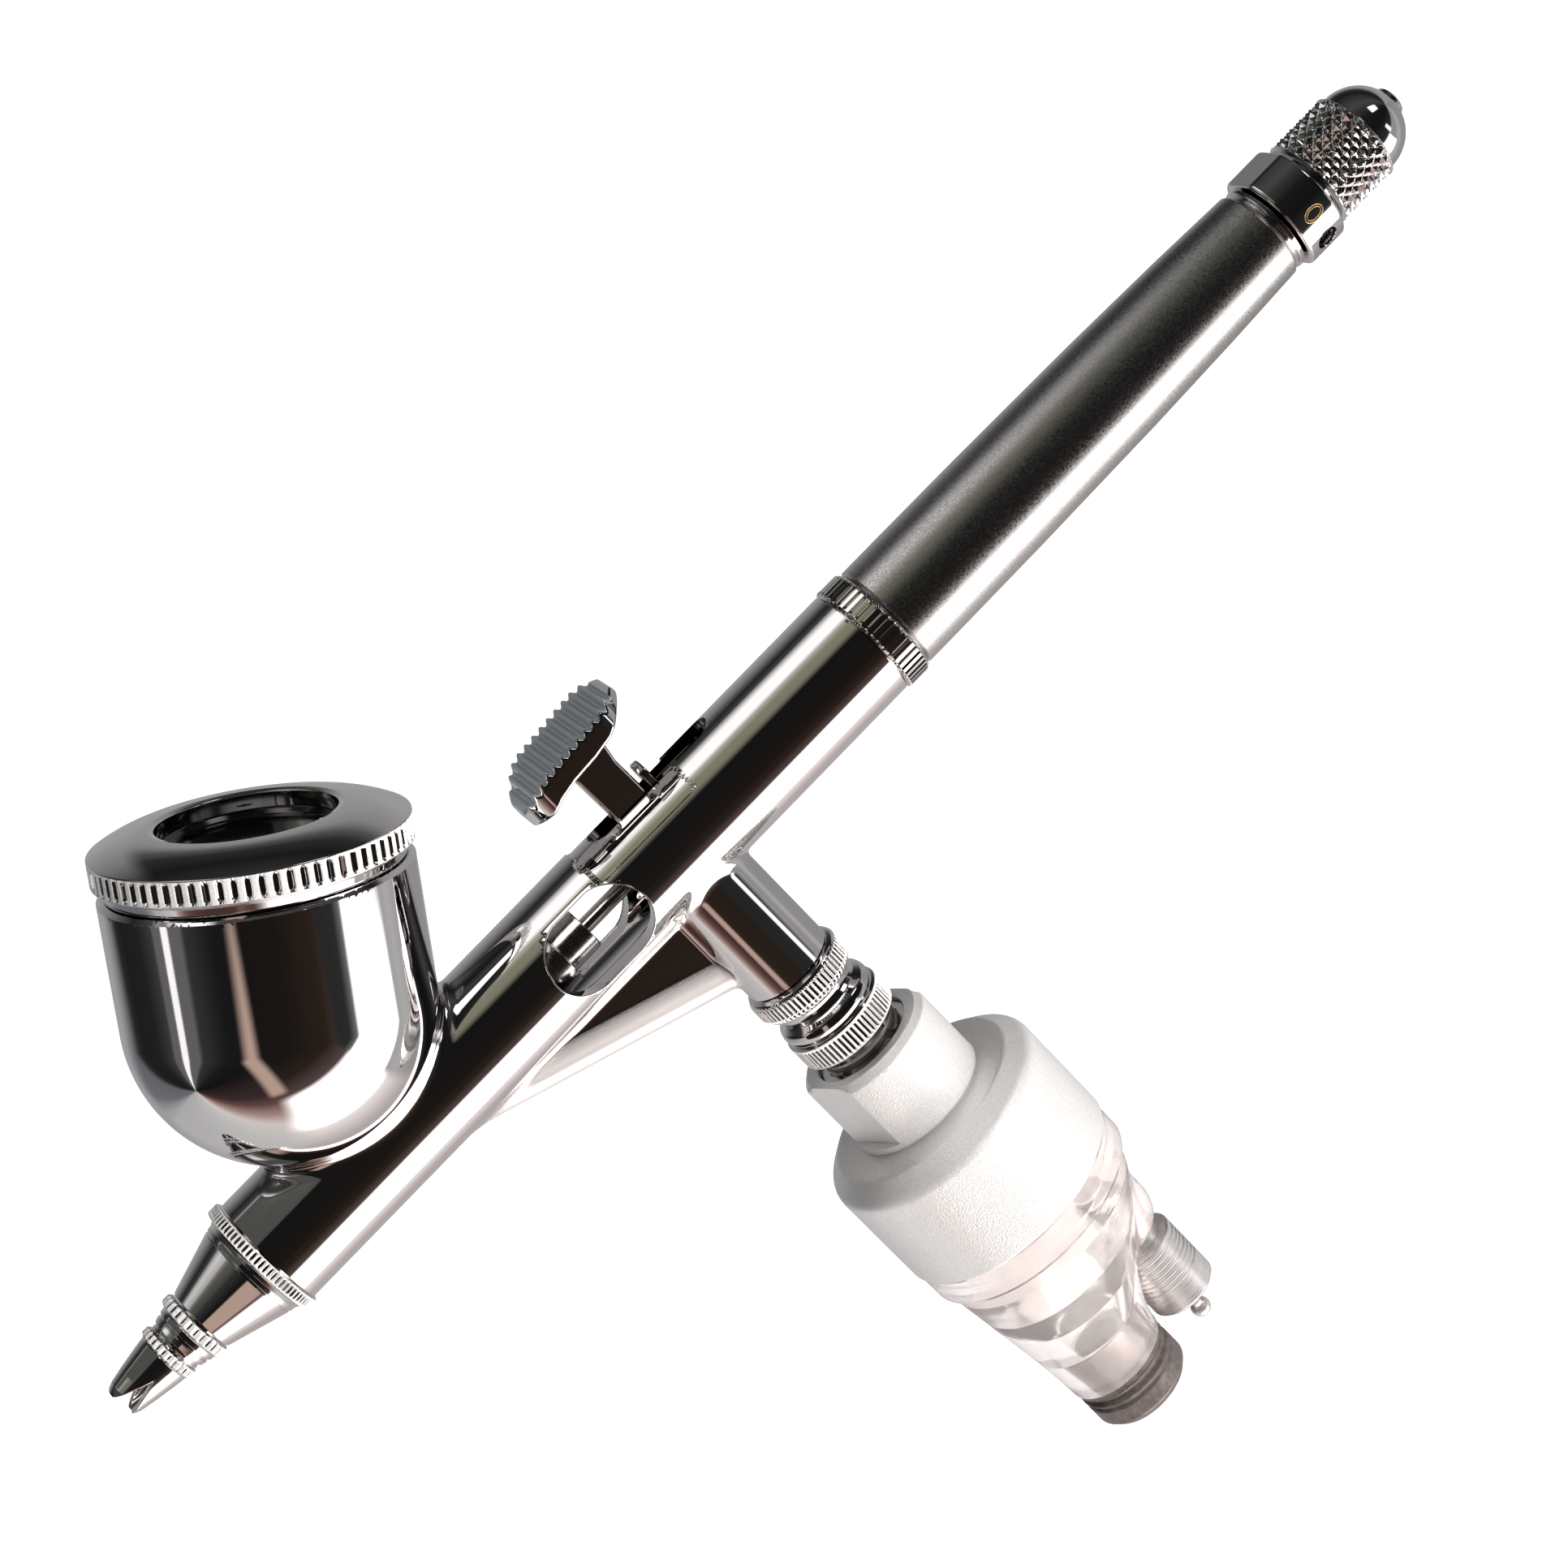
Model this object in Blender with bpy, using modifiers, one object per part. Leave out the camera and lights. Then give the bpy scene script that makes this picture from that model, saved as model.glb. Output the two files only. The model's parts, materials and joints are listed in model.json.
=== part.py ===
"""Gravity-feed double-action airbrush with an in-line moisture filter.

Frame: the origin is where the barrel axis meets the air-valve axis. +X runs to the tail
knob, -X to the spray tip, +Z is up through the trigger, and -Z runs down the air valve.
Dimensions are in millimetres and become metres as each outline is made.
"""
import math

import bmesh
import bpy
from mathutils import Matrix, Vector

MM = 0.001

# ---- driving dimensions, mm -----------------------------------------------------------
BARREL_R = 5.3
BARREL_FRONT = -46.7
BARREL_REAR = 23.2
MAIN_BORE_R = 4.0
NEEDLE_R = 0.7
NEEDLE_TIP = -60.4
NEEDLE_END = 61.0

CUP_TILT = math.radians(34.9)       # cup axis leans from +Z back toward the trigger
CUP_FOOT = -41.56                   # where the cup axis crosses the barrel axis
CUP_R = 12.9
CUP_WALL = 1.0
CUP_RIM = 28.6
CUP_BOTTOM = 4.0
CUP_STRAIGHT = 17.2                 # above this height the cup wall is straight

WINDOW_X = -9.8
WINDOW_HALF_LENGTH = 5.15
WINDOW_R = 3.55

SLOT_FRONT = -4.6
SLOT_REAR = 9.4
SLOT_WIDTH = 3.2

STEM_R = 4.2
STEM_END = -15.6
RING_R = 4.85                       # both knurled rings of the air fitting

TRIGGER_PIVOT_Z = -2.5
PAD_FRONT = -6.9
PAD_REAR = 5.5
PAD_WIDTH = 9.0
PAD_TOP = 13.75
PAD_ROLL_START = 0.72               # share of the pad's length where its front starts to roll down
PAD_RIBS = 12
RIB_DEPTH = 0.34
STEM_THICK = 2.6

LEVER_PIVOT = (2.6, -2.8)
LEVER_TOP = 7.0

HANDLE_FRONT = 26.05
HANDLE_REAR = 72.0
DIAL_FRONT = 73.1
DIAL_REAR = 77.2
DIAL_R = 4.95
DIAL_FLAT = 4.45                    # from the barrel axis to each flat of the dial
KNOB_FRONT = 77.7
KNOB_SHOULDER = 83.9
KNOB_APEX = 88.4

FILTER_R = 11.0
NECK_FLAT = 5.6                     # from the valve axis to each spanner flat
NECK_FLAT_TURN = 20.0               # degrees from +X to the rear flat
FILTER_TOP = -25.2
FILTER_NECK_R = 6.5
FILTER_SHOULDER = -33.3
FILTER_RIM = -45.1
BAND_END = -48.0
OUTLET_X = -3.6
OUTLET_TOP = -64.8
THREAD_R = 4.86                     # one-eighth-inch pipe thread
THREAD_END = -69.4
DRAIN_X = 5.0
DRAIN_R = 3.3
DRAIN_TOP = -58.6
DRAIN_END = -65.5

FINE = 24                           # steps round a large turned piece
MEDIUM = 16
SMALL = 10

TO_TAIL = Matrix.Rotation(math.radians(90), 4, "Y")      # local +Z points to +X
UP = Matrix.Identity(4)
UP_CUP = Matrix.Translation((CUP_FOOT * MM, 0, 0)) @ Matrix.Rotation(CUP_TILT, 4, "Y")
SIDE_ON = Matrix.Rotation(math.radians(90), 4, "X")      # local XY becomes world XZ


# ---- scene, collections and materials -------------------------------------------------
def clear_scene():
    for thing in list(bpy.data.objects):
        bpy.data.objects.remove(thing, do_unlink=True)


def new_collection(name):
    made = bpy.data.collections.new(name)
    bpy.context.scene.collection.children.link(made)
    return made


clear_scene()
PARTS = new_collection("airbrush_gun")
CUTTERS = new_collection("cutters")


def material(name, colour, roughness, metallic):
    made = bpy.data.materials.new(name)
    made.use_nodes = True
    shader = made.node_tree.nodes["Principled BSDF"]
    shader.inputs["Base Color"].default_value = (*colour, 1.0)
    shader.inputs["Roughness"].default_value = roughness
    shader.inputs["Metallic"].default_value = metallic
    return made


FINISHES = {
    "chrome": ((0.42, 0.41, 0.42), 0.06, 1.0),
    "satin_graphite": ((0.16, 0.16, 0.17), 0.38, 1.0),
    "bead_blasted": ((0.78, 0.77, 0.75), 0.42, 1.0),
    "steel": ((0.62, 0.61, 0.60), 0.18, 1.0),
    "brass": ((0.80, 0.62, 0.30), 0.22, 1.0),
    "spring_steel": ((0.50, 0.50, 0.52), 0.25, 1.0),
    "seal_white": ((0.90, 0.89, 0.86), 0.45, 0.0),
    "seal_black": ((0.03, 0.03, 0.03), 0.60, 0.0),
    "clear_bowl": ((0.88, 0.82, 0.80), 0.05, 0.0),
    "dark_thread": ((0.17, 0.13, 0.12), 0.35, 0.6),
    "element": ((0.86, 0.86, 0.82), 0.80, 0.0),
}


def finish_part(thing, finish):
    """Give a sub-part its own material and round shading."""
    colour, roughness, metallic = FINISHES[finish]
    thing.data.materials.clear()
    thing.data.materials.append(material(thing.name + "_" + finish, colour, roughness, metallic))
    return thing


def link(thing, cutter):
    if cutter:
        CUTTERS.objects.link(thing)
        thing.hide_render = True
        thing.display_type = "WIRE"
    else:
        PARTS.objects.link(thing)
    return thing


# ---- shape makers ---------------------------------------------------------------------
def turned(name, outline, steps, place=UP, ring=False, cutter=False):
    """Turn (radius, height) pairs round local Z; the outline runs down its outer side."""
    mesh = bpy.data.meshes.new(name)
    points = [(radius * MM, 0.0, height * MM) for radius, height in outline]
    edges = [(i, i + 1) for i in range(len(points) - 1)]
    if ring:
        edges.append((len(points) - 1, 0))
    mesh.from_pydata(points, edges, [])
    thing = bpy.data.objects.new(name, mesh)
    link(thing, cutter)
    screw = thing.modifiers.new("turn", "SCREW")
    screw.axis = "Z"
    screw.angle = 2 * math.pi
    screw.steps = steps
    screw.render_steps = steps
    screw.use_merge_vertices = True
    screw.merge_threshold = 0.00001
    thing.matrix_world = place
    return thing


def pipe(name, outer, inner, low, high, steps, place=UP, cutter=False):
    outline = [(outer, high), (outer, low), (inner, low), (inner, high)]
    return turned(name, outline, steps, place, ring=True, cutter=cutter)


def rod(name, radius, low, high, steps, place=UP, cutter=False):
    return turned(name, [(0, high), (radius, high), (radius, low), (0, low)], steps, place,
                  cutter=cutter)


def as_mesh(thing):
    """Replace a curve or a modified object by its welded mesh."""
    bpy.context.view_layer.update()
    evaluated = thing.evaluated_get(bpy.context.evaluated_depsgraph_get())
    mesh = bpy.data.meshes.new_from_object(evaluated)
    soup = bmesh.new()
    soup.from_mesh(mesh)
    bmesh.ops.remove_doubles(soup, verts=soup.verts, dist=0.000002)
    soup.to_mesh(mesh)
    soup.free()
    name, home, place = thing.name, thing.users_collection[0], thing.matrix_world.copy()
    bpy.data.objects.remove(thing, do_unlink=True)
    made = bpy.data.objects.new(name, mesh)
    home.objects.link(made)
    made.matrix_world = place
    if home == CUTTERS:
        made.hide_render = True
        made.display_type = "WIRE"
    return made


def plate(name, outline, thickness, place=SIDE_ON, cutter=False):
    """Extrude a flat outline both ways from its own plane."""
    curve = bpy.data.curves.new(name, "CURVE")
    curve.dimensions = "2D"
    curve.fill_mode = "BOTH"
    curve.extrude = thickness * MM / 2
    line = curve.splines.new("POLY")
    line.points.add(len(outline) - 1)
    for point, (across, up) in zip(line.points, outline):
        point.co = (across * MM, up * MM, 0, 1)
    line.use_cyclic_u = True
    thing = bpy.data.objects.new(name, curve)
    link(thing, cutter)
    thing.matrix_world = place
    return as_mesh(thing)


def coil(name, mean_r, wire_r, low, high, turns, place=UP):
    """A compression spring of round wire with a little flat-lying turn at each end."""
    per_turn = 8
    count = turns * per_turn
    curve = bpy.data.curves.new(name, "CURVE")
    curve.dimensions = "3D"
    curve.bevel_depth = wire_r * MM
    curve.bevel_resolution = 0
    curve.use_fill_caps = True
    line = curve.splines.new("POLY")
    line.points.add(count)
    for i, point in enumerate(line.points):
        angle = 2 * math.pi * i / per_turn
        height = low + wire_r + (high - low - 2 * wire_r) * i / count
        point.co = (mean_r * math.cos(angle) * MM, mean_r * math.sin(angle) * MM, height * MM, 1)
    thing = bpy.data.objects.new(name, curve)
    link(thing, False)
    thing.matrix_world = place
    return as_mesh(thing)


def torus(name, major, minor, height, steps):
    """An O-ring whose section is a six-sided ring."""
    sides = 6
    outline = []
    for i in range(sides):
        angle = math.pi / sides - 2 * math.pi * i / sides
        outline.append((major + minor * math.cos(angle), height + minor * math.sin(angle)))
    return turned(name, outline, steps, ring=True)


def arc(centre, radius, start, end, count):
    """Points on a circle, start to end in degrees."""
    points = []
    for i in range(count + 1):
        angle = math.radians(start + (end - start) * i / count)
        points.append((centre[0] + radius * math.cos(angle), centre[1] + radius * math.sin(angle)))
    return points


def obround(centre, half_length, radius, count=8):
    """A slot outline along local X with round ends."""
    reach = half_length - radius
    right = arc((centre[0] + reach, centre[1]), radius, -90, 90, count)
    left = arc((centre[0] - reach, centre[1]), radius, 90, 270, count)
    return right + left


def combine(thing, other, operation):
    step = thing.modifiers.new(operation.lower() + "_" + other.name, "BOOLEAN")
    step.operation = operation
    step.solver = "EXACT"
    step.object = other
    return thing


def along(start, end):
    """Placement whose local +Z runs from start to end, given in mm."""
    a = Vector(start) * MM
    b = Vector(end) * MM
    turn = (b - a).to_track_quat("Z", "Y").to_matrix().to_4x4()
    return Matrix.Translation(a) @ turn


def spun(place, degrees):
    """The same placement turned round its own axis, so that facets don't line up."""
    return place @ Matrix.Rotation(math.radians(degrees), 4, "Z")


def distance(start, end):
    return (Vector(end) - Vector(start)).length


# ---- body: barrel, paint cup, valve stem and air-passage web in one piece -------------
def cup_outer(offset=0.0, count=7):
    """Round-bottomed cup outline below its straight wall, grown inward by offset."""
    radius = CUP_R - offset
    bottom = CUP_BOTTOM + offset
    points = []
    for i in range(count + 1):
        quarter = i / count
        depth = 1 - (1 - quarter) ** 2
        reach = math.sqrt(max(0.0, 1 - depth ** 2))
        points.append((radius * reach, CUP_STRAIGHT - depth * (CUP_STRAIGHT - bottom)))
    return points


WEB_LOW = (-3.2, 0, -12.35)         # air tube centre at the valve stem
WEB_HIGH = (-29.5, 0, -3.3)         # air tube centre inside the barrel
AIR_TUBE_R = 1.55
WEB_THICK = 1.9


def body_shell():
    barrel = rod("body_shell", BARREL_R, BARREL_FRONT, BARREL_REAR, FINE, TO_TAIL)
    spigot = rod("rear_spigot", 4.6, BARREL_REAR - 2, 29.0, FINE, TO_TAIL, cutter=True)
    cup = turned("cup_wall", [(0, CUP_RIM), (CUP_R, CUP_RIM)] + cup_outer(), FINE,
                 spun(UP_CUP, 2.3), cutter=True)
    stem = rod("valve_stem", STEM_R, STEM_END, -2.0, MEDIUM, spun(UP, 4.1), cutter=True)
    tube_length = distance(WEB_LOW, WEB_HIGH)
    tube_place = spun(along(WEB_LOW, WEB_HIGH), 7.0)
    tube = rod("air_tube", AIR_TUBE_R, 0, tube_length, SMALL, tube_place, cutter=True)
    web_outline = [(-2.5, -3.0), (WEB_HIGH[0], -3.0), (WEB_HIGH[0], WEB_HIGH[2]),
                   (-2.5, WEB_LOW[2] - 0.2)]
    web = plate("web_plate", web_outline, WEB_THICK, cutter=True)
    for addition in (spigot, cup, stem, tube, web):
        combine(barrel, addition, "UNION")
    for hollow in body_hollows():
        combine(barrel, hollow, "DIFFERENCE")
    return finish_part(as_mesh(barrel), "chrome")


def body_hollows():
    main = turned("main_bore", [
        (0, 31.0), (MAIN_BORE_R, 31.0), (MAIN_BORE_R, -19.5), (2.4, -19.5), (2.4, -24.6),
        (1.2, -24.6), (1.2, -42.2), (3.6, -42.2), (3.6, -48.5), (0, -48.5)],
        MEDIUM, TO_TAIL, cutter=True)
    inner = cup_outer(CUP_WALL)[:-1]
    cup = turned("cup_hollow", [(0, CUP_RIM + 2), (CUP_R - CUP_WALL, CUP_RIM + 2)] + inner
                 + [(1.6, CUP_BOTTOM + 1.2), (1.1, 0.4), (0, 0.4)], FINE,
                 spun(UP_CUP, 2.3), cutter=True)
    valve = turned("valve_hollow", [
        (0, -1.0), (2.0, -1.0), (2.0, -5.2), (1.35, -5.2), (1.35, -7.8), (3.3, -7.8),
        (3.3, -17.0), (0, -17.0)],
        MEDIUM, cutter=True)
    window = plate("window_cut", obround((WINDOW_X, 0), WINDOW_HALF_LENGTH, WINDOW_R), 16.0,
                   cutter=True)
    middle = (SLOT_FRONT + SLOT_REAR) / 2
    slot_place = Matrix.Translation((0, 0, 5.0 * MM))
    slot = plate("trigger_slot_cut",
                 obround((middle, 0), (SLOT_REAR - SLOT_FRONT) / 2, SLOT_WIDTH / 2, 6), 6.0,
                 slot_place, cutter=True)
    duct_start = (-2.4, 0, -12.04)
    duct_end = (-31.5, 0, -3.25)
    duct = rod("air_duct", 0.7, 0, distance(duct_start, duct_end), 12,
               along(duct_start, duct_end), cutter=True)
    gallery_start = (-31.0, 0, -3.2)
    gallery = rod("front_duct", 0.62, 0, 12.6, 12, along(gallery_start, (-44.0, 0, -2.75)),
                  cutter=True)
    return [main, cup, valve, window, slot, duct, gallery]


# ---- paint cup lid ---------------------------------------------------------------------
def cup_lid():
    plug_r = CUP_R - CUP_WALL - 0.15
    outline = [(0.6, 31.35), (5.2, 31.4), (6.6, 31.65), (7.25, 32.2), (7.4, 33.15), (7.6, 33.4),
               (8.4, 33.4), (10.2, 33.15), (11.9, 32.65), (12.7, 32.3), (13.1, 31.95),
               (13.1, 29.7), (12.75, 29.45), (12.6, 28.7), (plug_r, 28.7),
               (plug_r, 26.8), (plug_r - 0.9, 26.8), (plug_r - 0.9, 30.6), (0.6, 30.6)]
    return finish_part(as_mesh(turned("cup_lid", outline, FINE, UP_CUP, ring=True)), "chrome")


# ---- spray head ------------------------------------------------------------------------
def spray_head():
    head = turned("head_base", [
        (3.5, -43.3), (3.5, -46.8), (5.75, -46.9), (5.75, -48.05), (5.2, -48.15), (4.8, -48.6),
        (4.1, -50.9), (3.05, -54.5), (1.95, -54.5), (1.95, -56.2), (1.5, -56.2), (1.5, -50.9),
        (1.2, -50.9), (1.2, -43.3)], FINE, TO_TAIL, ring=True)
    seal = pipe("head_seal", 3.45, 1.35, -43.2, -42.3, MEDIUM, TO_TAIL)
    nozzle = turned("fluid_nozzle", [
        (0.95, -51.0), (1.42, -51.0), (1.42, -56.4), (1.3, -56.5), (0.36, -59.7), (0.22, -59.7),
        (0.85, -56.3), (0.95, -55.0)], MEDIUM, TO_TAIL, ring=True)
    cap = turned("nozzle_cap", [
        (2.03, -54.65), (3.4, -54.65), (3.4, -55.8), (2.95, -55.9), (2.9, -56.5), (2.65, -56.6),
        (2.65, -57.1), (2.35, -57.2), (2.35, -57.65), (1.85, -57.7), (1.85, -58.6),
        (1.0, -58.6), (1.75, -56.7), (2.03, -56.6)], FINE, TO_TAIL, ring=True)
    crown = turned("needle_cap", [
        (1.93, -57.75), (2.75, -57.75), (2.75, -58.5), (2.45, -58.6), (2.1, -60.6),
        (1.72, -63.2), (1.5, -63.7), (1.25, -63.8), (1.2, -63.6), (1.3, -58.8), (1.93, -58.75)],
        FINE, TO_TAIL, ring=True)
    notch = plate("crown_notch_cut", [(-60.3, 0), (-64.6, 1.35), (-64.6, -1.35)], 8.0, cutter=True)
    combine(crown, notch, "DIFFERENCE")
    finish_part(as_mesh(head), "chrome")
    finish_part(as_mesh(seal), "seal_white")
    finish_part(as_mesh(nozzle), "steel")
    finish_part(as_mesh(cap), "chrome")
    finish_part(as_mesh(crown), "chrome")


# ---- needle and its packing ------------------------------------------------------------
def needle_group():
    needle = turned("needle", [
        (0, NEEDLE_END), (NEEDLE_R - 0.15, NEEDLE_END), (NEEDLE_R, NEEDLE_END - 0.3),
        (NEEDLE_R, -49.0), (0.11, -59.6), (0.03, NEEDLE_TIP), (0, NEEDLE_TIP)], SMALL, TO_TAIL)
    packing = pipe("needle_packing", 2.33, 0.76, -24.5, -22.6, SMALL, TO_TAIL)
    screw = turned("packing_screw", [
        (0.85, -9.8), (2.1, -9.8), (2.1, -12.7), (2.9, -12.8), (2.9, -19.2), (2.3, -19.3),
        (2.3, -22.5), (0.85, -22.5)], MEDIUM, TO_TAIL, ring=True)
    driver_slot = plate("driver_slot_cut", [(-9.0, 0.3), (-10.6, 0.3), (-10.6, -0.3),
                                            (-9.0, -0.3)], 8.0, cutter=True)
    combine(screw, driver_slot, "DIFFERENCE")
    finish_part(as_mesh(needle), "steel")
    finish_part(as_mesh(packing), "seal_white")
    finish_part(as_mesh(screw), "steel")


def needle_carrier():
    guide = turned("needle_chuck_guide", [
        (0.78, 38.0), (1.2, 38.0), (1.95, 36.5), (1.95, 5.6), (3.3, 5.5), (3.3, 3.9),
        (3.0, 3.45), (0.78, 3.45)], SMALL, TO_TAIL, ring=True)
    nut = turned("needle_chuck_nut", [
        (0.78, 43.0), (2.6, 43.0), (3.3, 42.4), (3.3, 35.0), (2.9, 34.5), (2.02, 34.5),
        (2.02, 37.2), (1.3, 38.2), (0.78, 38.3)], MEDIUM, TO_TAIL, ring=True)
    case = turned("spring_case", [
        (2.05, 28.0), (3.5, 28.0), (3.5, 25.0), (3.88, 24.6), (3.88, 9.0), (3.35, 9.0),
        (3.35, 22.0), (2.05, 22.0)], MEDIUM, TO_TAIL, ring=True)
    finish_part(as_mesh(guide), "steel")
    finish_part(as_mesh(nut), "brass")
    finish_part(as_mesh(case), "steel")
    finish_part(coil("needle_spring", 2.65, 0.28, 5.65, 21.9, 8, TO_TAIL), "spring_steel")


# ---- trigger and auxiliary lever -------------------------------------------------------
def pad_side():
    """Side view of the finger pad: ribbed and crowned on top, hollow underneath."""
    points = []
    steps = PAD_RIBS * 4
    rear_end, front_end = PAD_REAR - 0.5, PAD_FRONT + 0.6
    for i in range(steps + 1):
        part = i / steps
        roll = max(0.0, part - PAD_ROLL_START) / (1 - PAD_ROLL_START)
        crown = PAD_TOP - 0.9 * part - 1.1 * roll ** 2
        ripple = RIB_DEPTH / 2 * math.cos(2 * math.pi * PAD_RIBS * part)
        points.append((rear_end + (front_end - rear_end) * part, crown + ripple))
    front = [(PAD_FRONT, 11.2), (PAD_FRONT + 0.1, 10.3), (PAD_FRONT + 0.6, 9.9),
             (PAD_FRONT + 1.3, 10.0), (-3.9, 10.7), (-2.0, 11.0)]
    rear = [(2.4, 11.5), (3.6, 12.0), (4.4, 12.5), (PAD_REAR - 0.1, 12.9), (PAD_REAR, 13.4)]
    return points + front + rear


def trigger():
    pad = plate("trigger", pad_side(), PAD_WIDTH)
    middle = (PAD_FRONT + PAD_REAR) / 2
    plan = plate("pad_plan", obround((middle, 0), (PAD_REAR - PAD_FRONT) / 2 + 0.4, 4.9, 8), 12.0,
                 Matrix.Translation((0, 0, 12.0 * MM)), cutter=True)
    combine(pad, plan, "INTERSECT")
    foot = arc((0, TRIGGER_PIVOT_Z), 1.25, 180, 360, 8)
    stem_outline = foot + [(1.25, 1.5), (1.75, 3.4), (1.65, 8.6), (2.3, 12.2), (-3.2, 12.0),
                           (-2.0, 9.6), (-1.8, 4.2), (-1.25, 2.6)]
    stem = plate("trigger_stem", stem_outline, STEM_THICK, cutter=True)
    combine(pad, stem, "UNION")
    fork = plate("needle_fork_cut", obround((0.8, 0), 2.3, 0.95, 6), 8.0,
                 Matrix.Rotation(math.radians(-90), 4, "Y"), cutter=True)
    combine(pad, fork, "DIFFERENCE")
    made = as_mesh(pad)
    pivot = Vector((0, 0, TRIGGER_PIVOT_Z * MM))
    made.data.transform(Matrix.Translation(-pivot) @ made.matrix_world)
    made.matrix_world = Matrix.Translation(pivot)
    return finish_part(made, "chrome")


def auxiliary_lever():
    front = LEVER_PIVOT[0] - 0.45
    rear = LEVER_PIVOT[0] + 0.35
    low = arc((LEVER_PIVOT[0] - 0.05, LEVER_PIVOT[1]), 0.4, 180, 360, 6)
    outline = low + [(rear, LEVER_TOP - 1.2), (rear - 0.1, LEVER_TOP - 0.1),
                     (front + 0.3, LEVER_TOP), (front, LEVER_TOP - 1.2)]
    lever = plate("auxiliary_lever", outline, STEM_THICK)
    fork = plate("lever_fork_cut", obround((0.3, 0), 1.9, 0.95, 6), 8.0,
                 Matrix.Rotation(math.radians(-90), 4, "Y"), cutter=True)
    combine(lever, fork, "DIFFERENCE")
    made = as_mesh(lever)
    pivot = Vector((LEVER_PIVOT[0] * MM, 0, LEVER_PIVOT[1] * MM))
    made.data.transform(Matrix.Translation(-pivot) @ made.matrix_world)
    made.matrix_world = Matrix.Translation(pivot)
    return finish_part(made, "steel")


# ---- handle and needle-travel preset ---------------------------------------------------
def handle_group():
    collar = pipe("rear_collar", 5.5, 4.68, 23.3, 25.95, FINE, TO_TAIL)
    handle = turned("handle_sleeve", [
        (2.1, 72.9), (3.95, 72.9), (3.95, HANDLE_REAR + 0.1), (4.25, HANDLE_REAR),
        (4.42, HANDLE_REAR - 0.3), (4.72, 64.0), (4.98, 54.0), (5.16, 40.0), (5.2, 30.0),
        (5.2, HANDLE_FRONT),
        (4.68, HANDLE_FRONT), (4.68, 30.5), (3.9, 31.0), (3.9, 66.0), (2.1, 66.5)],
        FINE, TO_TAIL, ring=True)
    dial = pipe("preset_dial", DIAL_R, 2.6, DIAL_FRONT, DIAL_REAR, FINE, TO_TAIL)
    for side in (1, -1):
        near, far = side * DIAL_FLAT, side * 6.5
        flat = plate("dial_flat_cut", [(DIAL_FRONT - 1, near), (DIAL_REAR + 1, near),
                                       (DIAL_REAR + 1, far), (DIAL_FRONT - 1, far)], 14.0,
                     cutter=True)
        combine(dial, flat, "DIFFERENCE")
    grub_place = Matrix.Translation((75.15 * MM, 0, 0)) @ Matrix.Rotation(math.radians(130), 4, "X")
    grub_hole = rod("grub_hole_cut", 0.95, 1.0, 8.0, 16, grub_place, cutter=True)
    combine(dial, grub_hole, "DIFFERENCE")
    grub = rod("dial_grub_screw", 0.85, 2.7, 4.3, 16, grub_place)
    knob = turned("preset_knob", [
        (0, KNOB_APEX), (1.4, KNOB_APEX)] + knob_dome() + [
        (4.0, KNOB_SHOULDER), (4.4, KNOB_SHOULDER - 0.1), (4.4, KNOB_FRONT + 0.4),
        (4.1, KNOB_FRONT),
        (2.5, KNOB_FRONT), (2.5, 73.2), (1.55, 73.2), (1.55, 83.0), (0, 83.6)], FINE, TO_TAIL)
    rod_piece = turned("preset_rod", [
        (0, 79.8), (1.45, 79.8), (1.45, 66.8), (1.45, 47.5), (0.82, 47.5), (0.82, 66.0), (0, 66.0)],
        SMALL, TO_TAIL)
    finish_part(as_mesh(collar), "chrome")
    finish_part(as_mesh(handle), "satin_graphite")
    finish_part(as_mesh(dial), "chrome")
    finish_part(as_mesh(grub), "steel")
    finish_part(as_mesh(knob), "chrome")
    finish_part(as_mesh(rod_piece), "brass")


def knob_dome(count=5):
    points = []
    for i in range(1, count + 1):
        angle = math.radians(22 + (90 - 22) * i / count)
        points.append((4.0 * math.sin(angle), KNOB_SHOULDER + 0.2 + 4.05 * math.cos(angle)))
    return points


# ---- air valve -------------------------------------------------------------------------
def air_valve():
    packing = pipe("valve_packing", 3.2, 1.28, -9.3, -7.95, MEDIUM)
    casing = turned("valve_casing", [
        (1.35, -9.5), (3.2, -9.5), (3.2, -10.4), (2.6, -10.5), (2.6, -14.3), (3.2, -14.4),
        (3.2, -15.65), (4.3, -15.7), (RING_R, -16.2), (RING_R, -17.8), (4.5, -18.15), (3.0, -18.2),
        (3.0, -22.0), (1.95, -22.0), (1.95, -11.6), (1.35, -11.5)], MEDIUM, ring=True)
    port = rod("casing_port_cut", 0.6, -4.0, 4.0, 12,
               Matrix.Translation((0, 0, -12.4 * MM)) @ TO_TAIL, cutter=True)
    combine(casing, port, "DIFFERENCE")
    plunger = turned("valve_plunger", [
        (0, -3.85), (1.2, -3.85), (1.2, -11.7), (1.72, -11.9), (1.72, -13.2), (0.9, -13.3),
        (0.9, -14.4), (0, -14.4)], SMALL)
    guide = turned("valve_guide_screw", [
        (0.6, -19.6), (1.88, -19.6), (1.88, -21.9), (0.6, -21.9)], SMALL, ring=True)
    finish_part(as_mesh(packing), "seal_white")
    finish_part(as_mesh(casing), "chrome")
    finish_part(as_mesh(plunger), "brass")
    finish_part(as_mesh(guide), "brass")
    finish_part(coil("valve_spring", 1.45, 0.22, -19.5, -13.35, 5), "spring_steel")


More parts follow.
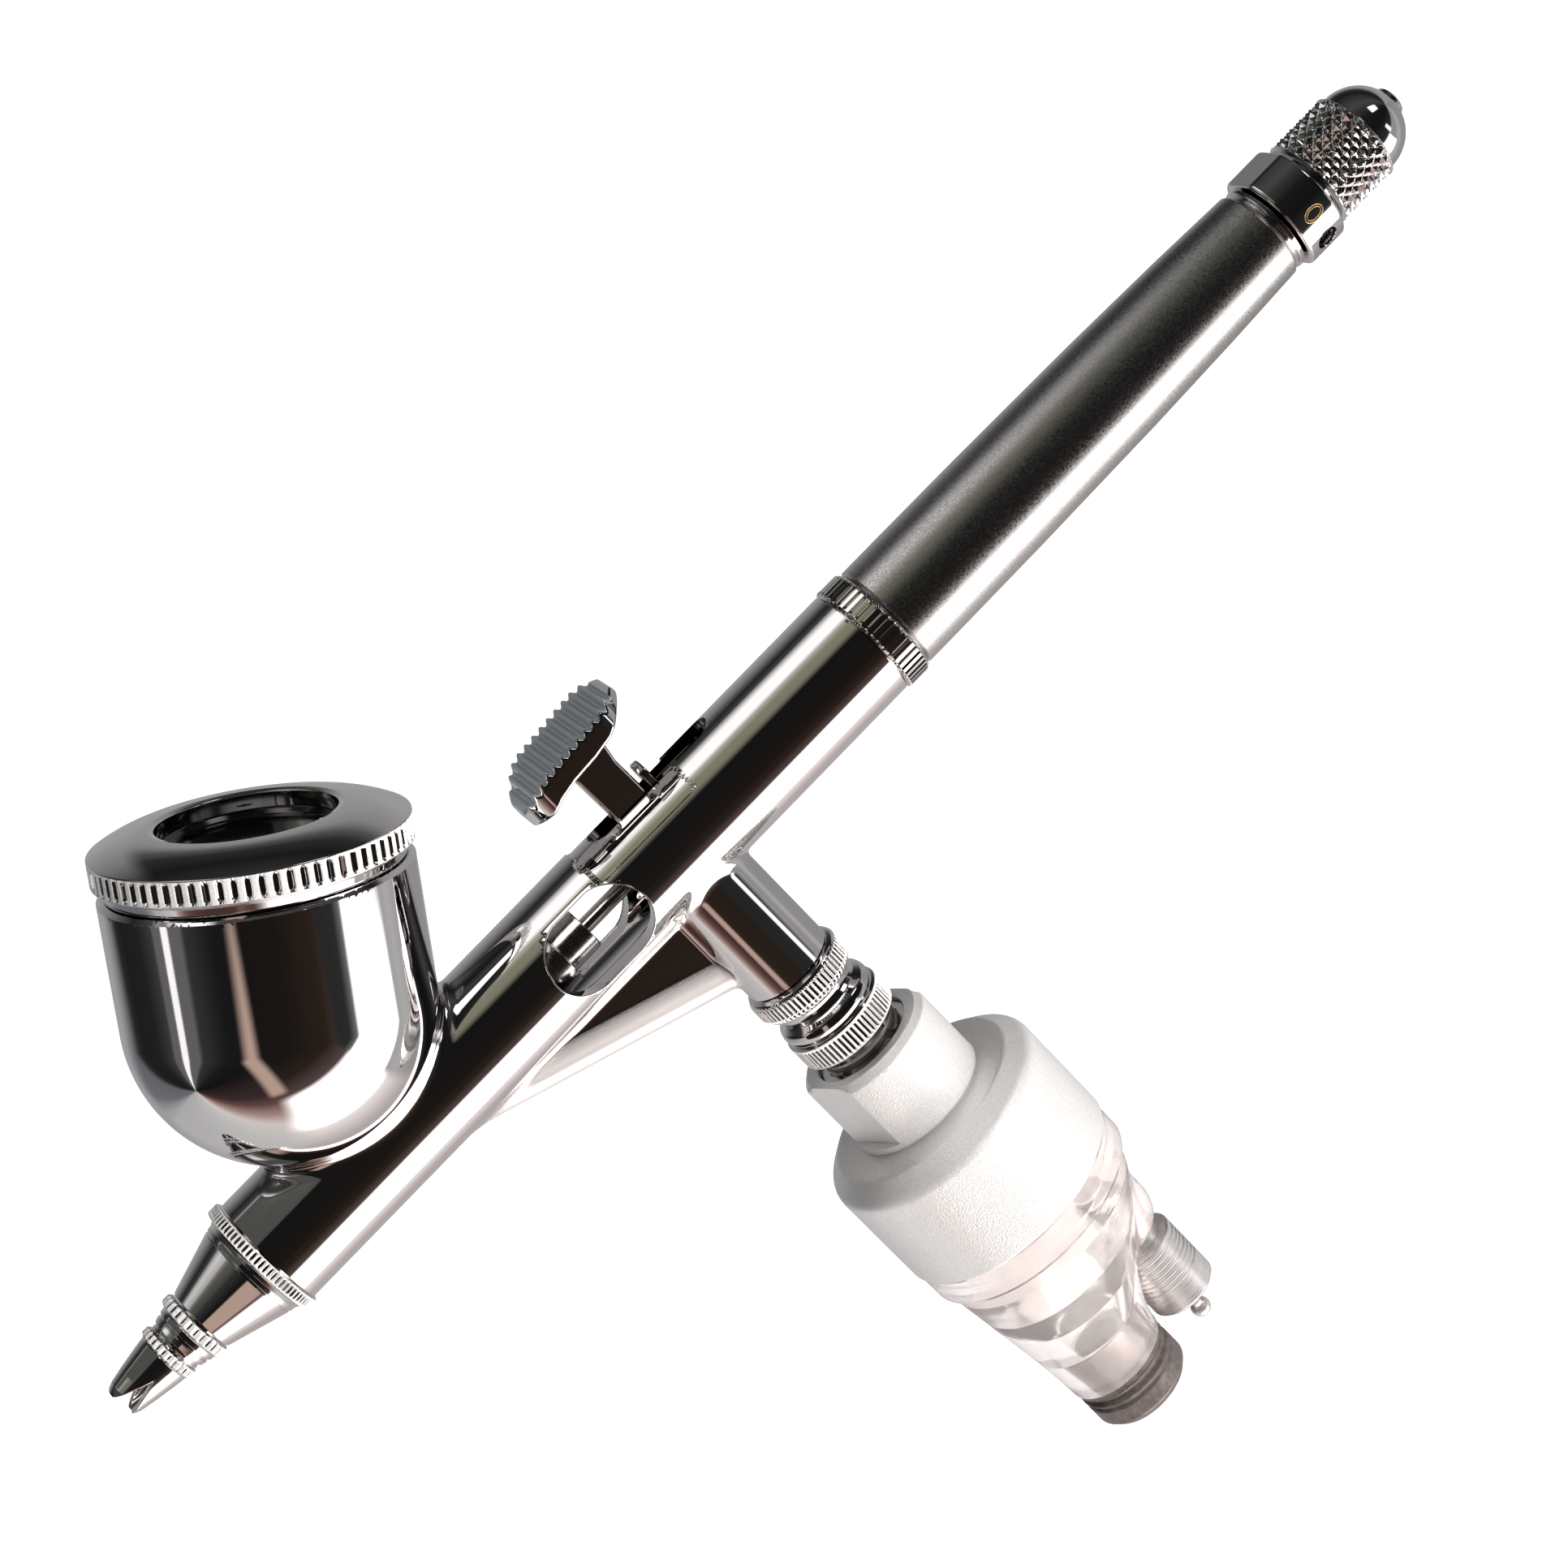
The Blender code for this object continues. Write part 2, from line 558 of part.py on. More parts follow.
# ---- moisture filter -------------------------------------------------------------------
def union_and_swivel():
    union = turned("union_collar", [
        (3.06, -18.35), (3.85, -18.4), (3.7, -18.9), (3.85, -19.35), (4.35, -19.75), (4.6, -20.4),
        (4.55, -21.1), (RING_R, -21.4),
        (RING_R, -23.8), (4.4, -24.3), (3.9, -24.4), (3.9, -26.95), (4.55, -27.05), (4.55, -28.4),
        (1.8, -28.4), (1.8, -22.4), (3.06, -22.3)], MEDIUM, ring=True)
    ring = torus("union_o_ring", 3.3, 0.36, -28.85, MEDIUM)
    retainer = pipe("swivel_retainer", 4.66, 4.0, -26.85, -25.7, MEDIUM)
    for angle in (0, 90):
        key = plate("key_notch_cut", [(-6, -26.2), (6, -26.2), (6, -25.0), (-6, -25.0)], 1.3,
                    Matrix.Rotation(math.radians(angle + 35), 4, "Z") @ SIDE_ON, cutter=True)
        combine(retainer, key, "DIFFERENCE")
    finish_part(as_mesh(union), "chrome")
    finish_part(as_mesh(ring), "seal_black")
    finish_part(as_mesh(retainer), "steel")


def filter_head():
    head = turned("filter_head", [
        (4.75, FILTER_TOP), (6.0, FILTER_TOP), (FILTER_NECK_R, FILTER_TOP - 0.5),
        (FILTER_NECK_R, FILTER_SHOULDER), (9.6, FILTER_SHOULDER), (10.6, FILTER_SHOULDER - 0.6),
        (FILTER_R, FILTER_SHOULDER - 1.7), (FILTER_R, FILTER_RIM), (9.95, FILTER_RIM),
        (9.95, -36.2), (2.0, -35.2), (2.0, -29.5), (4.75, -29.5)], FINE, ring=True)
    place = Matrix.Rotation(math.radians(NECK_FLAT_TURN), 4, "Z") @ SIDE_ON
    for side in (1, -1):
        near, far = side * NECK_FLAT, side * 8.0
        flat = plate("neck_flat_cut", [(near, FILTER_TOP + 1), (far, FILTER_TOP + 1), (far, -32.4),
                                       (near, -32.4)], 16.0, place, cutter=True)
        combine(head, flat, "DIFFERENCE")
    return finish_part(as_mesh(head), "bead_blasted")


# height, sideways shift and radius of the bowl as it leans over to its outlet
BOWL_SECTIONS = [(BAND_END, 0.0, 10.25), (-50.0, -0.1, 9.9), (-53.5, -0.95, 8.65),
                 (-57.0, -2.1, 7.1), (-60.5, -3.0, 5.8), (-63.5, -3.55, 5.05),
                 (OUTLET_TOP, OUTLET_X, 4.95)]


def lean_to_outlet(thing):
    """Shift each level of the bowl sideways so that it ends over the outlet."""
    for vertex in thing.data.vertices:
        height = vertex.co.z / MM
        for (high, a, _), (low, b, _) in zip(BOWL_SECTIONS, BOWL_SECTIONS[1:]):
            if low <= height < high:
                share = (high - height) / (high - low)
                vertex.co.x += (a + (b - a) * share) * MM
        if height < BOWL_SECTIONS[-1][0]:
            vertex.co.x += OUTLET_X * MM
    return thing


def filter_bowl():
    wall = 1.1
    outer = [(0, -40.0), (9.35, -40.0), (9.35, FILTER_RIM - 0.1), (10.75, FILTER_RIM - 0.1),
             (10.75, BAND_END + 0.2), (10.5, BAND_END)]
    outer += [(radius, height) for height, _, radius in BOWL_SECTIONS] + [(0, OUTLET_TOP)]
    bowl = lean_to_outlet(as_mesh(turned("filter_bowl", outer, FINE)))
    inner = [(0, -39.0), (8.2, -39.0), (8.2, BAND_END)]
    inner += [(BOWL_SECTIONS[1][2] - wall, -50.0), (7.3, -53.5), (3.9, -57.0)]
    inner += [(2.6, -61.0), (0, -61.0)]
    hollow = lean_to_outlet(as_mesh(turned("bowl_hollow", inner, MEDIUM, cutter=True)))
    drain_place = Matrix.Translation((DRAIN_X * MM, 0, 0))
    housing = rod("drain_housing", 3.7, DRAIN_TOP + 0.2, -49.0, SMALL, drain_place, cutter=True)
    drain_bore = rod("drain_bore", 2.3, DRAIN_TOP - 1, -50.5, MEDIUM, drain_place, cutter=True)
    scoop = rod("drain_scoop", DRAIN_R + 0.35, DRAIN_END - 2, DRAIN_TOP + 0.3, MEDIUM, drain_place,
                cutter=True)
    combine(bowl, housing, "UNION")
    combine(bowl, hollow, "DIFFERENCE")
    outlet_bore = rod("outlet_bore", 3.5, OUTLET_TOP - 2, -60.6, MEDIUM,
                      Matrix.Translation((OUTLET_X * MM, 0, 0)), cutter=True)
    combine(bowl, scoop, "DIFFERENCE")
    combine(bowl, outlet_bore, "DIFFERENCE")
    combine(bowl, drain_bore, "DIFFERENCE")
    return finish_part(as_mesh(bowl), "clear_bowl")


def filter_internals():
    finish_part(as_mesh(torus("bowl_seal", 9.65, 0.26, -44.0, FINE)), "seal_black")
    finish_part(as_mesh(pipe("filter_element", 5.6, 3.4, -47.5, -36.4, MEDIUM)), "element")


def drain_valve():
    place = Matrix.Translation((DRAIN_X * MM, 0, 0))
    body = turned("drain_body", [
        (0.75, -52.0), (2.2, -52.0), (2.2, DRAIN_TOP), (DRAIN_R, DRAIN_TOP - 0.05),
        (DRAIN_R, DRAIN_END + 0.3), (DRAIN_R - 0.3, DRAIN_END), (1.35, DRAIN_END),
        (1.35, -57.0), (0.75, -57.0)], MEDIUM, place, ring=True)
    pin = turned("drain_pin", [
        (0, -50.8), (1.6, -50.8), (1.6, -51.2), (0.5, -51.3), (0.5, -62.6), (1.15, -62.65),
        (1.15, -63.2), (0.5, -63.3), (0.5, -67.4), (0.85, -67.7), (0.95, -68.2), (0.7, -68.7),
        (0, -68.9)], SMALL, place)
    seal = pipe("drain_seal", 1.7, 0.56, -51.95, -51.35, SMALL, place)
    finish_part(as_mesh(body), "steel")
    finish_part(as_mesh(pin), "steel")
    finish_part(as_mesh(seal), "seal_black")
    finish_part(coil("drain_spring", 0.92, 0.15, -62.55, -57.1, 5, place), "spring_steel")


def inlet_fitting():
    pitch = 0.907
    outline = [(2.4, -60.8), (3.42, -60.8), (3.42, OUTLET_TOP - 0.1),
               (THREAD_R - 0.1, OUTLET_TOP - 0.15)]
    height = OUTLET_TOP - 0.5
    while height - pitch > THREAD_END + 0.3:
        outline += [(THREAD_R, height - pitch * 0.1), (THREAD_R - 0.45, height - pitch * 0.6)]
        height -= pitch
    outline += [(THREAD_R, height), (THREAD_R - 0.4, THREAD_END), (2.4, THREAD_END)]
    place = Matrix.Translation((OUTLET_X * MM, 0, 0))
    return finish_part(as_mesh(turned("inlet_fitting", outline, MEDIUM, place, ring=True)),
                       "dark_thread")


# ---- build -----------------------------------------------------------------------------
def shade_round_parts():
    for thing in PARTS.objects:
        thing.data.shade_smooth()
        thing.data.set_sharp_from_angle(angle=math.radians(35))


def build():
    body_shell()
    cup_lid()
    spray_head()
    needle_group()
    needle_carrier()
    trigger()
    auxiliary_lever()
    handle_group()
    air_valve()
    union_and_swivel()
    filter_head()
    filter_bowl()
    filter_internals()
    drain_valve()
    inlet_fitting()
    shade_round_parts()


build()
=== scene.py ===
"""Looks of a gravity-feed airbrush with a moisture filter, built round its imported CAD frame.

Lengths are in millimetres in the frame's own axes: +X runs to the tail knob, +Z up through the
trigger, and the air valve hangs down -Z. Datum sizes are read from the CAD nodes.
"""
import functools
import json
import math

import bmesh
import bpy
import numpy as np
from mathutils import Matrix, Vector

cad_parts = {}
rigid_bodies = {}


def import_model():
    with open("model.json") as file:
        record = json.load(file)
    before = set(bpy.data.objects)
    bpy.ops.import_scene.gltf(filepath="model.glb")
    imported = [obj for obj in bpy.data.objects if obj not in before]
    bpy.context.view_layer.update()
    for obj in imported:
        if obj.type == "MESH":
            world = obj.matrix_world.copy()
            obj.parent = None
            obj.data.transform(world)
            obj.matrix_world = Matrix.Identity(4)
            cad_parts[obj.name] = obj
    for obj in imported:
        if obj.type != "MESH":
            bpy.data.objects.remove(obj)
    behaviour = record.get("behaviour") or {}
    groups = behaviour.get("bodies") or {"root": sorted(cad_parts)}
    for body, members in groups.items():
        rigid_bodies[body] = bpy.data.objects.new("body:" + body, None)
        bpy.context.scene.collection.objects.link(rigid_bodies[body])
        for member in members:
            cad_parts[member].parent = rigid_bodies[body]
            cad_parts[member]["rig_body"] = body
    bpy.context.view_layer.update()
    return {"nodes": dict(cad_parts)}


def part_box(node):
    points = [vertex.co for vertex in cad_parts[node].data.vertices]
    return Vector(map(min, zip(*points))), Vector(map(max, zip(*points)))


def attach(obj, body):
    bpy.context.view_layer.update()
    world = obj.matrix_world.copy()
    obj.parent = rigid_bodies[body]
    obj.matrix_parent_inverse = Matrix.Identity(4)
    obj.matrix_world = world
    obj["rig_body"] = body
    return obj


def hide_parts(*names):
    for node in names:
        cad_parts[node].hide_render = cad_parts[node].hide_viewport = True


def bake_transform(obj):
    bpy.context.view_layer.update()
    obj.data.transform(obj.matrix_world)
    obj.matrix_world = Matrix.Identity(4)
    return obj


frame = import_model()

MM = 0.001
X, Y, Z = 0, 1, 2
TINY = 1e-6
COS45 = 0.7071
NEARLY_STRAIGHT = math.radians(86)      # half angle beyond which a corner needs no rounding
SHARP_EDGE = math.radians(34)


def span(node, axis):
    """Lowest and highest coordinate of a CAD node along one axis, in mm."""
    low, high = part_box(node)
    return low[axis] / MM, high[axis] / MM


# ---- datum sizes, read from the frame ---------------------------------------------------
COLLAR_R = span("rear_collar", Y)[1]
BARREL_R = COLLAR_R - 0.2
BARREL_FRONT = span("head_base", X)[1] - 3.4
BARREL_REAR = span("rear_collar", X)[0] - 0.1
CUP_R = span("body_shell", Y)[1]
CUP_TILT = math.radians(34.9)
CUP_AXIS = np.array([math.sin(CUP_TILT), 0.0, math.cos(CUP_TILT)])
CUP_FOOT = np.array([BARREL_FRONT + 5.14, 0.0, 0.0])
CUP_STRAIGHT = 17.2                 # along the cup axis from its foot
CUP_RIM = 28.6
STEM_END = -15.6
RING_R = span("union_collar", Y)[1]
THREAD_END = span("inlet_fitting", Z)[0]
OUTLET_X = sum(span("inlet_fitting", X)) / 2
DRAIN_X = sum(span("drain_pin", X)) / 2
FILTER_R = span("filter_head", Y)[1]

AIR_TUBE = ((-3.2, 0, -12.35), (-29.5, 0, -3.3), 1.55)

TO_TAIL = Matrix.Rotation(math.radians(90), 4, "Y")      # local +Z points to +X
UP = Matrix.Identity(4)
UP_CUP = Matrix.Translation(Vector(CUP_FOOT) * MM) @ Matrix.Rotation(CUP_TILT, 4, "Y")


# ---- procedural materials ---------------------------------------------------------------
def plug(tree, socket, value):
    """Link a node's output to a socket, or give the socket a plain value."""
    if isinstance(value, bpy.types.NodeSocket):
        tree.links.new(value, socket)
    else:
        socket.default_value = value


def add_node(tree, kind, inputs=None, **settings):
    """Add a shader node, make its settings, then plug its inputs."""
    node = tree.nodes.new("ShaderNode" + kind)
    for name, value in settings.items():
        setattr(node, name, value)
    for key, value in (inputs or {}).items():
        plug(tree, node.inputs[key], value)
    return node


def math_node(tree, operation, a, b=0.0):
    return add_node(tree, "Math", {0: a, 1: b}, operation=operation).outputs[0]


def mixed(tree, share, below, above):
    """Colour that runs from below to above as share runs from 0 to 1."""
    below, above = ((*c, 1.0) if isinstance(c, tuple) else c for c in (below, above))
    inputs = {"Factor": share, "A": below, "B": above}
    return add_node(tree, "Mix", inputs, data_type="RGBA").outputs["Result"]


class Finish:
    """A node material under construction."""

    def __init__(self, name, colour, roughness, metallic):
        self.material = bpy.data.materials.new(name)
        self.material.use_nodes = True
        self.tree = self.material.node_tree
        self.set("Base Color", (*colour, 1.0))
        self.set("Roughness", roughness)
        self.set("Metallic", metallic)
        self.place = add_node(self.tree, "TexCoord").outputs["Object"]

    def set(self, socket, value):
        plug(self.tree, self.tree.nodes["Principled BSDF"].inputs[socket], value)

    def noise(self, per_mm, detail=2.0, stretch=(1, 1, 1), seed=0.0):
        scale = [per_mm / MM * s for s in stretch]
        inputs = {"Vector": self.place, "Scale": scale, "Location": (seed, seed, seed)}
        place = add_node(self.tree, "Mapping", inputs).outputs["Vector"]
        inputs = {"Vector": place, "Scale": 1.0, "Detail": detail}
        return add_node(self.tree, "TexNoise", inputs).outputs["Fac"]

    def cells(self, per_mm):
        inputs = {"Vector": self.place, "Scale": per_mm / MM}
        return add_node(self.tree, "TexVoronoi", inputs).outputs["Distance"]

    def vector(self, operation, a, b=(0, 0, 0)):
        node = add_node(self.tree, "VectorMath", {0: a, 1: b}, operation=operation)
        return node.outputs["Value" if operation == "LENGTH" else "Vector"]

    def remap(self, source, low, high, to_low, to_high):
        inputs = {"Value": source, "From Min": low, "From Max": high,
                  "To Min": to_low, "To Max": to_high}
        return add_node(self.tree, "MapRange", inputs).outputs["Result"]

    def tint(self, source, dark, light, low=0.3, high=0.7):
        """Base colour runs from dark to light as source runs from low to high."""
        share = self.remap(source, low, high, 0.0, 1.0)
        self.set("Base Color", mixed(self.tree, share, dark, light))

    def roughen(self, source, smooth, rough, low=0.3, high=0.7):
        self.set("Roughness", self.remap(source, low, high, smooth, rough))

    def bump(self, height, depth_mm, strength=1.0):
        inputs = {"Height": height, "Distance": depth_mm * MM, "Strength": strength}
        self.set("Normal", add_node(self.tree, "Bump", inputs).outputs["Normal"])


def scaled(colour, factor):
    return tuple(min(1.0, c * factor) for c in colour)


PLATING = (0.80, 0.775, 0.77)


def dark_chrome(name="dark_chrome", colour=PLATING, roughness=0.035):
    """Mirror plating with faint polishing marks and hand smudges."""
    made = Finish(name, colour, roughness, 1.0)
    smudge = made.noise(0.16, 4.0)
    made.tint(smudge, scaled(colour, 0.95), colour, 0.35, 0.65)
    made.roughen(smudge, roughness, roughness + 0.045, 0.4, 0.75)
    made.bump(made.noise(0.35, 3.0, seed=4.0), 0.0012, 0.5)
    return made.material


def satin_graphite():
    """Fine-grained satin plating: dark, soft highlights with a metallic sparkle."""
    made = Finish("satin_graphite", (0.80, 0.77, 0.76), 0.30, 1.0)
    grain = made.noise(9.0, 3.0)
    made.tint(grain, (0.60, 0.58, 0.57), (0.84, 0.81, 0.795))
    made.roughen(made.noise(5.0, 2.0, seed=7.0), 0.24, 0.38, 0.35)
    made.bump(grain, 0.010, 0.7)
    return made.material


def bead_blasted():
    """Bright aluminium blasted with glass beads: soft sheen broken by tiny pits."""
    made = Finish("bead_blasted", (0.92, 0.905, 0.895), 0.36, 0.62)
    pits = made.cells(7.0)
    made.tint(made.noise(4.0, 3.0), (0.86, 0.845, 0.835), (0.97, 0.955, 0.945))
    made.roughen(made.noise(3.0, 2.0, seed=3.0), 0.30, 0.44)
    made.bump(pits, 0.030, 0.8)
    return made.material


def turned_metal(name, colour, roughness, axis, metallic=1.0):
    """Lathe-turned metal: fine rings across its axis."""
    made = Finish(name, colour, roughness, metallic)
    stretch = [0.02, 0.02, 0.02]
    stretch[axis] = 1.0
    rings = made.noise(14.0, 3.0, stretch)
    made.tint(rings, scaled(colour, 0.86), scaled(colour, 1.06))
    made.roughen(rings, roughness, roughness + 0.12)
    made.bump(rings, 0.004, 0.6)
    return made.material


def knurl_crests():
    """Burnished tops of knurled teeth, which scatter light instead of mirroring the dark room."""
    made = Finish("knurl_crests", (0.93, 0.92, 0.915), 0.22, 0.5)
    wear = made.noise(2.5, 3.0)
    made.tint(wear, (0.84, 0.825, 0.815), (0.97, 0.96, 0.955))
    made.roughen(wear, 0.16, 0.30)
    return made.material


def body_chrome():
    """The mirror plating, left satin along the air passage that runs down to the valve stem."""
    made = Finish("body_chrome", PLATING, 0.035, 1.0)
    start, end = Vector(AIR_TUBE[0]) * MM, Vector(AIR_TUBE[1]) * MM
    offset = made.vector("SUBTRACT", made.place, start)
    away = made.vector("LENGTH", made.vector("CROSS_PRODUCT", offset, (end - start).normalized()))
    split = add_node(made.tree, "SeparateXYZ", {0: made.place})
    near = made.remap(away, 1.50 * MM, 1.95 * MM, 1.0, 0.0)
    ahead = made.remap(split.outputs["X"], -4.4 * MM, -3.4 * MM, 1.0, 0.0)
    satin = math_node(made.tree, "MULTIPLY", near, ahead)
    made.tint(satin, PLATING, (0.84, 0.785, 0.765), 0.0, 1.0)
    made.set("Metallic", made.remap(satin, 0.0, 1.0, 1.0, 0.6))
    made.roughen(satin, 0.04, 0.34, 0.0, 1.0)
    made.bump(made.noise(0.35, 3.0, seed=4.0), 0.0012, 0.5)
    return made.material


def pad_satin():
    """Blue-grey satin of the ribbed finger pad."""
    made = Finish("pad_satin", (0.46, 0.50, 0.53), 0.42, 0.5)
    grain = made.noise(6.0, 3.0)
    made.tint(grain, (0.40, 0.44, 0.47), (0.54, 0.58, 0.61))
    made.roughen(grain, 0.36, 0.52)
    made.bump(grain, 0.006, 0.6)
    return made.material


def clear_plastic():
    """Smoke-pink moulded plastic, slightly wavy inside."""
    made = Finish("clear_bowl", (0.96, 0.92, 0.91), 0.25, 0.0)
    made.set("Transmission Weight", 0.88)
    made.set("IOR", 1.45)
    flow = made.noise(0.22, 2.0)
    made.tint(flow, (0.84, 0.765, 0.745), (0.96, 0.915, 0.90))
    made.roughen(made.noise(1.2, 3.0), 0.05, 0.13)
    made.bump(flow, 0.05, 0.5)
    return made.material


def dark_anodised():
    """Brown-black thread with rubbed crests."""
    made = Finish("dark_thread", (0.24, 0.205, 0.195), 0.34, 0.7)
    wear = made.noise(1.6, 4.0)
    made.tint(wear, (0.19, 0.16, 0.15), (0.29, 0.25, 0.24), 0.42, 0.72)
    made.roughen(wear, 0.26, 0.44)
    made.bump(made.noise(8.0), 0.004, 0.5)
    return made.material


def soft_seal(name, colour, roughness):
    """Moulded seal with a fine matte grain."""
    made = Finish(name, colour, roughness, 0.0)
    grain = made.noise(7.0, 3.0)
    made.tint(grain, scaled(colour, 0.85), scaled(colour, 1.1))
    made.bump(grain, 0.012, 0.6)
    return made.material


def sintered():
    """Filter medium of tiny fused beads."""
    made = Finish("element", (0.86, 0.85, 0.81), 0.75, 0.0)
    beads = made.cells(4.0)
    made.tint(beads, (0.92, 0.91, 0.88), (0.62, 0.60, 0.56), 0.0, 0.6)
    made.bump(beads, 0.06, 0.9)
    return made.material


def gold_fill():
    made = Finish("gold_fill", (0.82, 0.55, 0.27), 0.30, 0.9)
    made.tint(made.noise(5.0, 2.0), (0.70, 0.44, 0.20), (0.92, 0.66, 0.36), 0.0, 1.0)
    return made.material


CHROME = dark_chrome()
# Painted shade: a near-black copy of the chrome that stands in for the shadow inside the lid's
# dished recess.
PAINTED_SHADE_RECESS = dark_chrome("recess_painted_shade", (0.085, 0.08, 0.08), 0.10)
CRESTS = knurl_crests()
BRIGHT = dark_chrome("bright_chrome", (0.93, 0.915, 0.91), 0.06)
GRAPHITE = satin_graphite()
BLASTED = bead_blasted()
STEEL_X = turned_metal("steel_along_barrel", (0.74, 0.73, 0.72), 0.14, X)
STEEL_Z = turned_metal("steel_along_valve", (0.80, 0.785, 0.775), 0.16, Z)
SOFT_STEEL_Z = turned_metal("soft_steel_along_valve", (0.93, 0.90, 0.89), 0.24, Z, 0.86)
BRASS_X = turned_metal("brass_along_barrel", (0.84, 0.66, 0.36), 0.18, X)
BRASS_Z = turned_metal("brass_along_valve", (0.84, 0.66, 0.36), 0.18, Z)
SPRING = turned_metal("spring_wire", (0.60, 0.60, 0.62), 0.22, Y)
PAD = pad_satin()
CLEAR = clear_plastic()
THREAD = dark_anodised()
WHITE_SEAL = soft_seal("white_seal", (0.86, 0.85, 0.82), 0.45)
BLACK_SEAL = soft_seal("black_seal", (0.028, 0.028, 0.030), 0.55)
ELEMENT = sintered()
GOLD = gold_fill()


# ---- pieces built by turning an outline -------------------------------------------------
def add_piece(mesh, name, node, finish, stands_for_node=True):
    """Put a finished mesh in the scene on its CAD node's body."""
    made = bpy.data.objects.new(name, mesh)
    bpy.context.scene.collection.objects.link(made)
    mesh.materials.append(finish)
    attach(made, frame["nodes"][node]["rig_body"])
    if stands_for_node:
        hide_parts(node)
    return made


def rounded(outline, default=0.1, steps=4, support=0.03):
    """Round the corners of a closed (radius, height) outline, with support points beside each arc.

    A corner's third value is its own radius; 0 keeps it sharp.
    """
    done = []
    for i, point in enumerate(outline):
        r, h, wanted = (*point, default)[:3]
        corner = np.array((r, h), float)
        before = np.array(outline[i - 1][:2], float) - corner
        after = np.array(outline[(i + 1) % len(outline)][:2], float) - corner
        reach_before, reach_after = np.linalg.norm(before), np.linalg.norm(after)
        if corner[0] < TINY or wanted <= 0 or min(reach_before, reach_after) < TINY:
            done.append(corner)
            continue
        before, after = before / reach_before, after / reach_after
        half = math.acos(max(-1.0, min(1.0, float(before @ after)))) / 2
        if half > NEARLY_STRAIGHT:
            done.append(corner)
            continue
        reach = min(wanted / math.tan(half), 0.45 * reach_before, 0.45 * reach_after)
        radius = reach * math.tan(half)
        inward = (before + after) / np.linalg.norm(before + after)
        middle = corner + inward * radius / math.sin(half)
        start, end = corner + before * reach, corner + after * reach
        edge = min(support, 0.3 * min(reach_before, reach_after))
        if reach_before - reach > 3 * edge:
            done.append(start + before * edge)
        sweep = math.pi - 2 * half
        for t in np.arange(steps + 1) / steps:
            from_start, from_end = math.sin((1 - t) * sweep), math.sin(t * sweep)
            turned = from_start * (start - middle) + from_end * (end - middle)
            done.append(middle + turned / math.sin(sweep))
        if reach_after - reach > 3 * edge:
            done.append(end + after * edge)
    return np.array(done)


def filled(outline, low, high, step):
    """Add points along an outline between two heights so that a knurl has sections to shape."""
    done = [outline[0]]
    for a, b in zip(outline, list(outline[1:]) + [outline[0]]):
        mid = (a[1] + b[1]) / 2
        length = np.linalg.norm(b - a)
        if low <= mid <= high and length > step:
            count = int(length / step)
            done += [a + (b - a) * k / (count + 1) for k in range(1, count + 1)]
        done.append(b)
    return np.array(done[:-1])


def lathe(name, node, finish, outline, place, around=192, shape=None):
    """Turn a closed outline; shape(radius, height, angle) may move the surface in or out."""
    angle = np.arange(around) * 2 * np.pi / around
    radius = np.repeat(outline[:, 0:1], around, axis=1)
    height = np.repeat(outline[:, 1:2], around, axis=1)
    turn = np.repeat(angle[None, :], len(outline), axis=0)
    if shape is not None:
        radius = shape(radius, height, turn)
    points = np.stack([radius * np.cos(turn), radius * np.sin(turn), height], -1) * MM
    matrix = np.array(place)
    points = points.reshape(-1, 3) @ matrix[:3, :3].T + matrix[:3, 3]
    rows = len(outline)
    on_axis = outline[0, 0] < TINY and outline[-1, 0] < TINY
    i, k = np.meshgrid(np.arange(rows - 1 if on_axis else rows), np.arange(around), indexing="ij")
    j, n = (i + 1) % rows, (k + 1) % around
    faces = np.stack([i * around + k, i * around + n, j * around + n, j * around + k], -1)
    mesh = bpy.data.meshes.new(name)
    mesh.from_pydata(points.tolist(), [], faces.reshape(-1, 4).tolist())
    soup = bmesh.new()
    soup.from_mesh(mesh)
    bmesh.ops.remove_doubles(soup, verts=soup.verts, dist=2e-7)
    bmesh.ops.recalc_face_normals(soup, faces=soup.faces)
    soup.to_mesh(mesh)
    soup.free()
    mesh.shade_smooth()
    mesh.set_sharp_from_angle(angle=SHARP_EDGE)
    return add_piece(mesh, name, node, finish)


def fade(height, low, high, edge):
    """1 between two heights, falling to 0 over edge at either end."""
    return np.clip((height - low) / edge, 0, 1) * np.clip((high - height) / edge, 0, 1)


def straight_knurl(low, high, teeth, depth, edge=0.12, land=0.0, outer_from=0.0):
    """Teeth that run along the axis; land is the share of each tooth left flat."""
    def shape(radius, height, turn):
        wave = np.abs((turn * teeth / (2 * np.pi)) % 1 * 2 - 1)
        groove = np.clip((wave - land) / (1 - land), 0, 1)
        cut = depth * groove * fade(height, low, high, edge)
        return np.where(radius > outer_from, radius - cut, radius)
    return shape


def diamond_knurl(low, high, count, pitch, depth, outer_from):
    """Two crossed helical sets of grooves that leave small pyramids."""
    def shape(radius, height, turn):
        around, along = turn * count / (2 * np.pi), (height - low) / pitch
        right = np.abs((around + along) % 1 * 2 - 1)
        left = np.abs((around - along) % 1 * 2 - 1)
        cut = depth * np.maximum(right, left) * fade(height, low, high, 0.25)
        return np.where(radius > outer_from, radius - cut, radius)
    return shape


# ---- pieces sculpted from a signed distance ---------------------------------------------
def smooth_union(a, b, blend):
    h = np.clip(0.5 + 0.5 * (b - a) / blend, 0, 1)
    return b + (a - b) * h - blend * h * (1 - h)


def smooth_both(a, b, blend):
    return -smooth_union(-a, -b, blend)


def both(*fields):
    """What all the solids share."""
    return functools.reduce(np.maximum, fields)


def either(*fields):
    """All the solids together."""
    return functools.reduce(np.minimum, fields)


def within(value, low, high):
    """Distance to the slab where value lies between low and high."""
    return np.maximum(low - value, value - high)


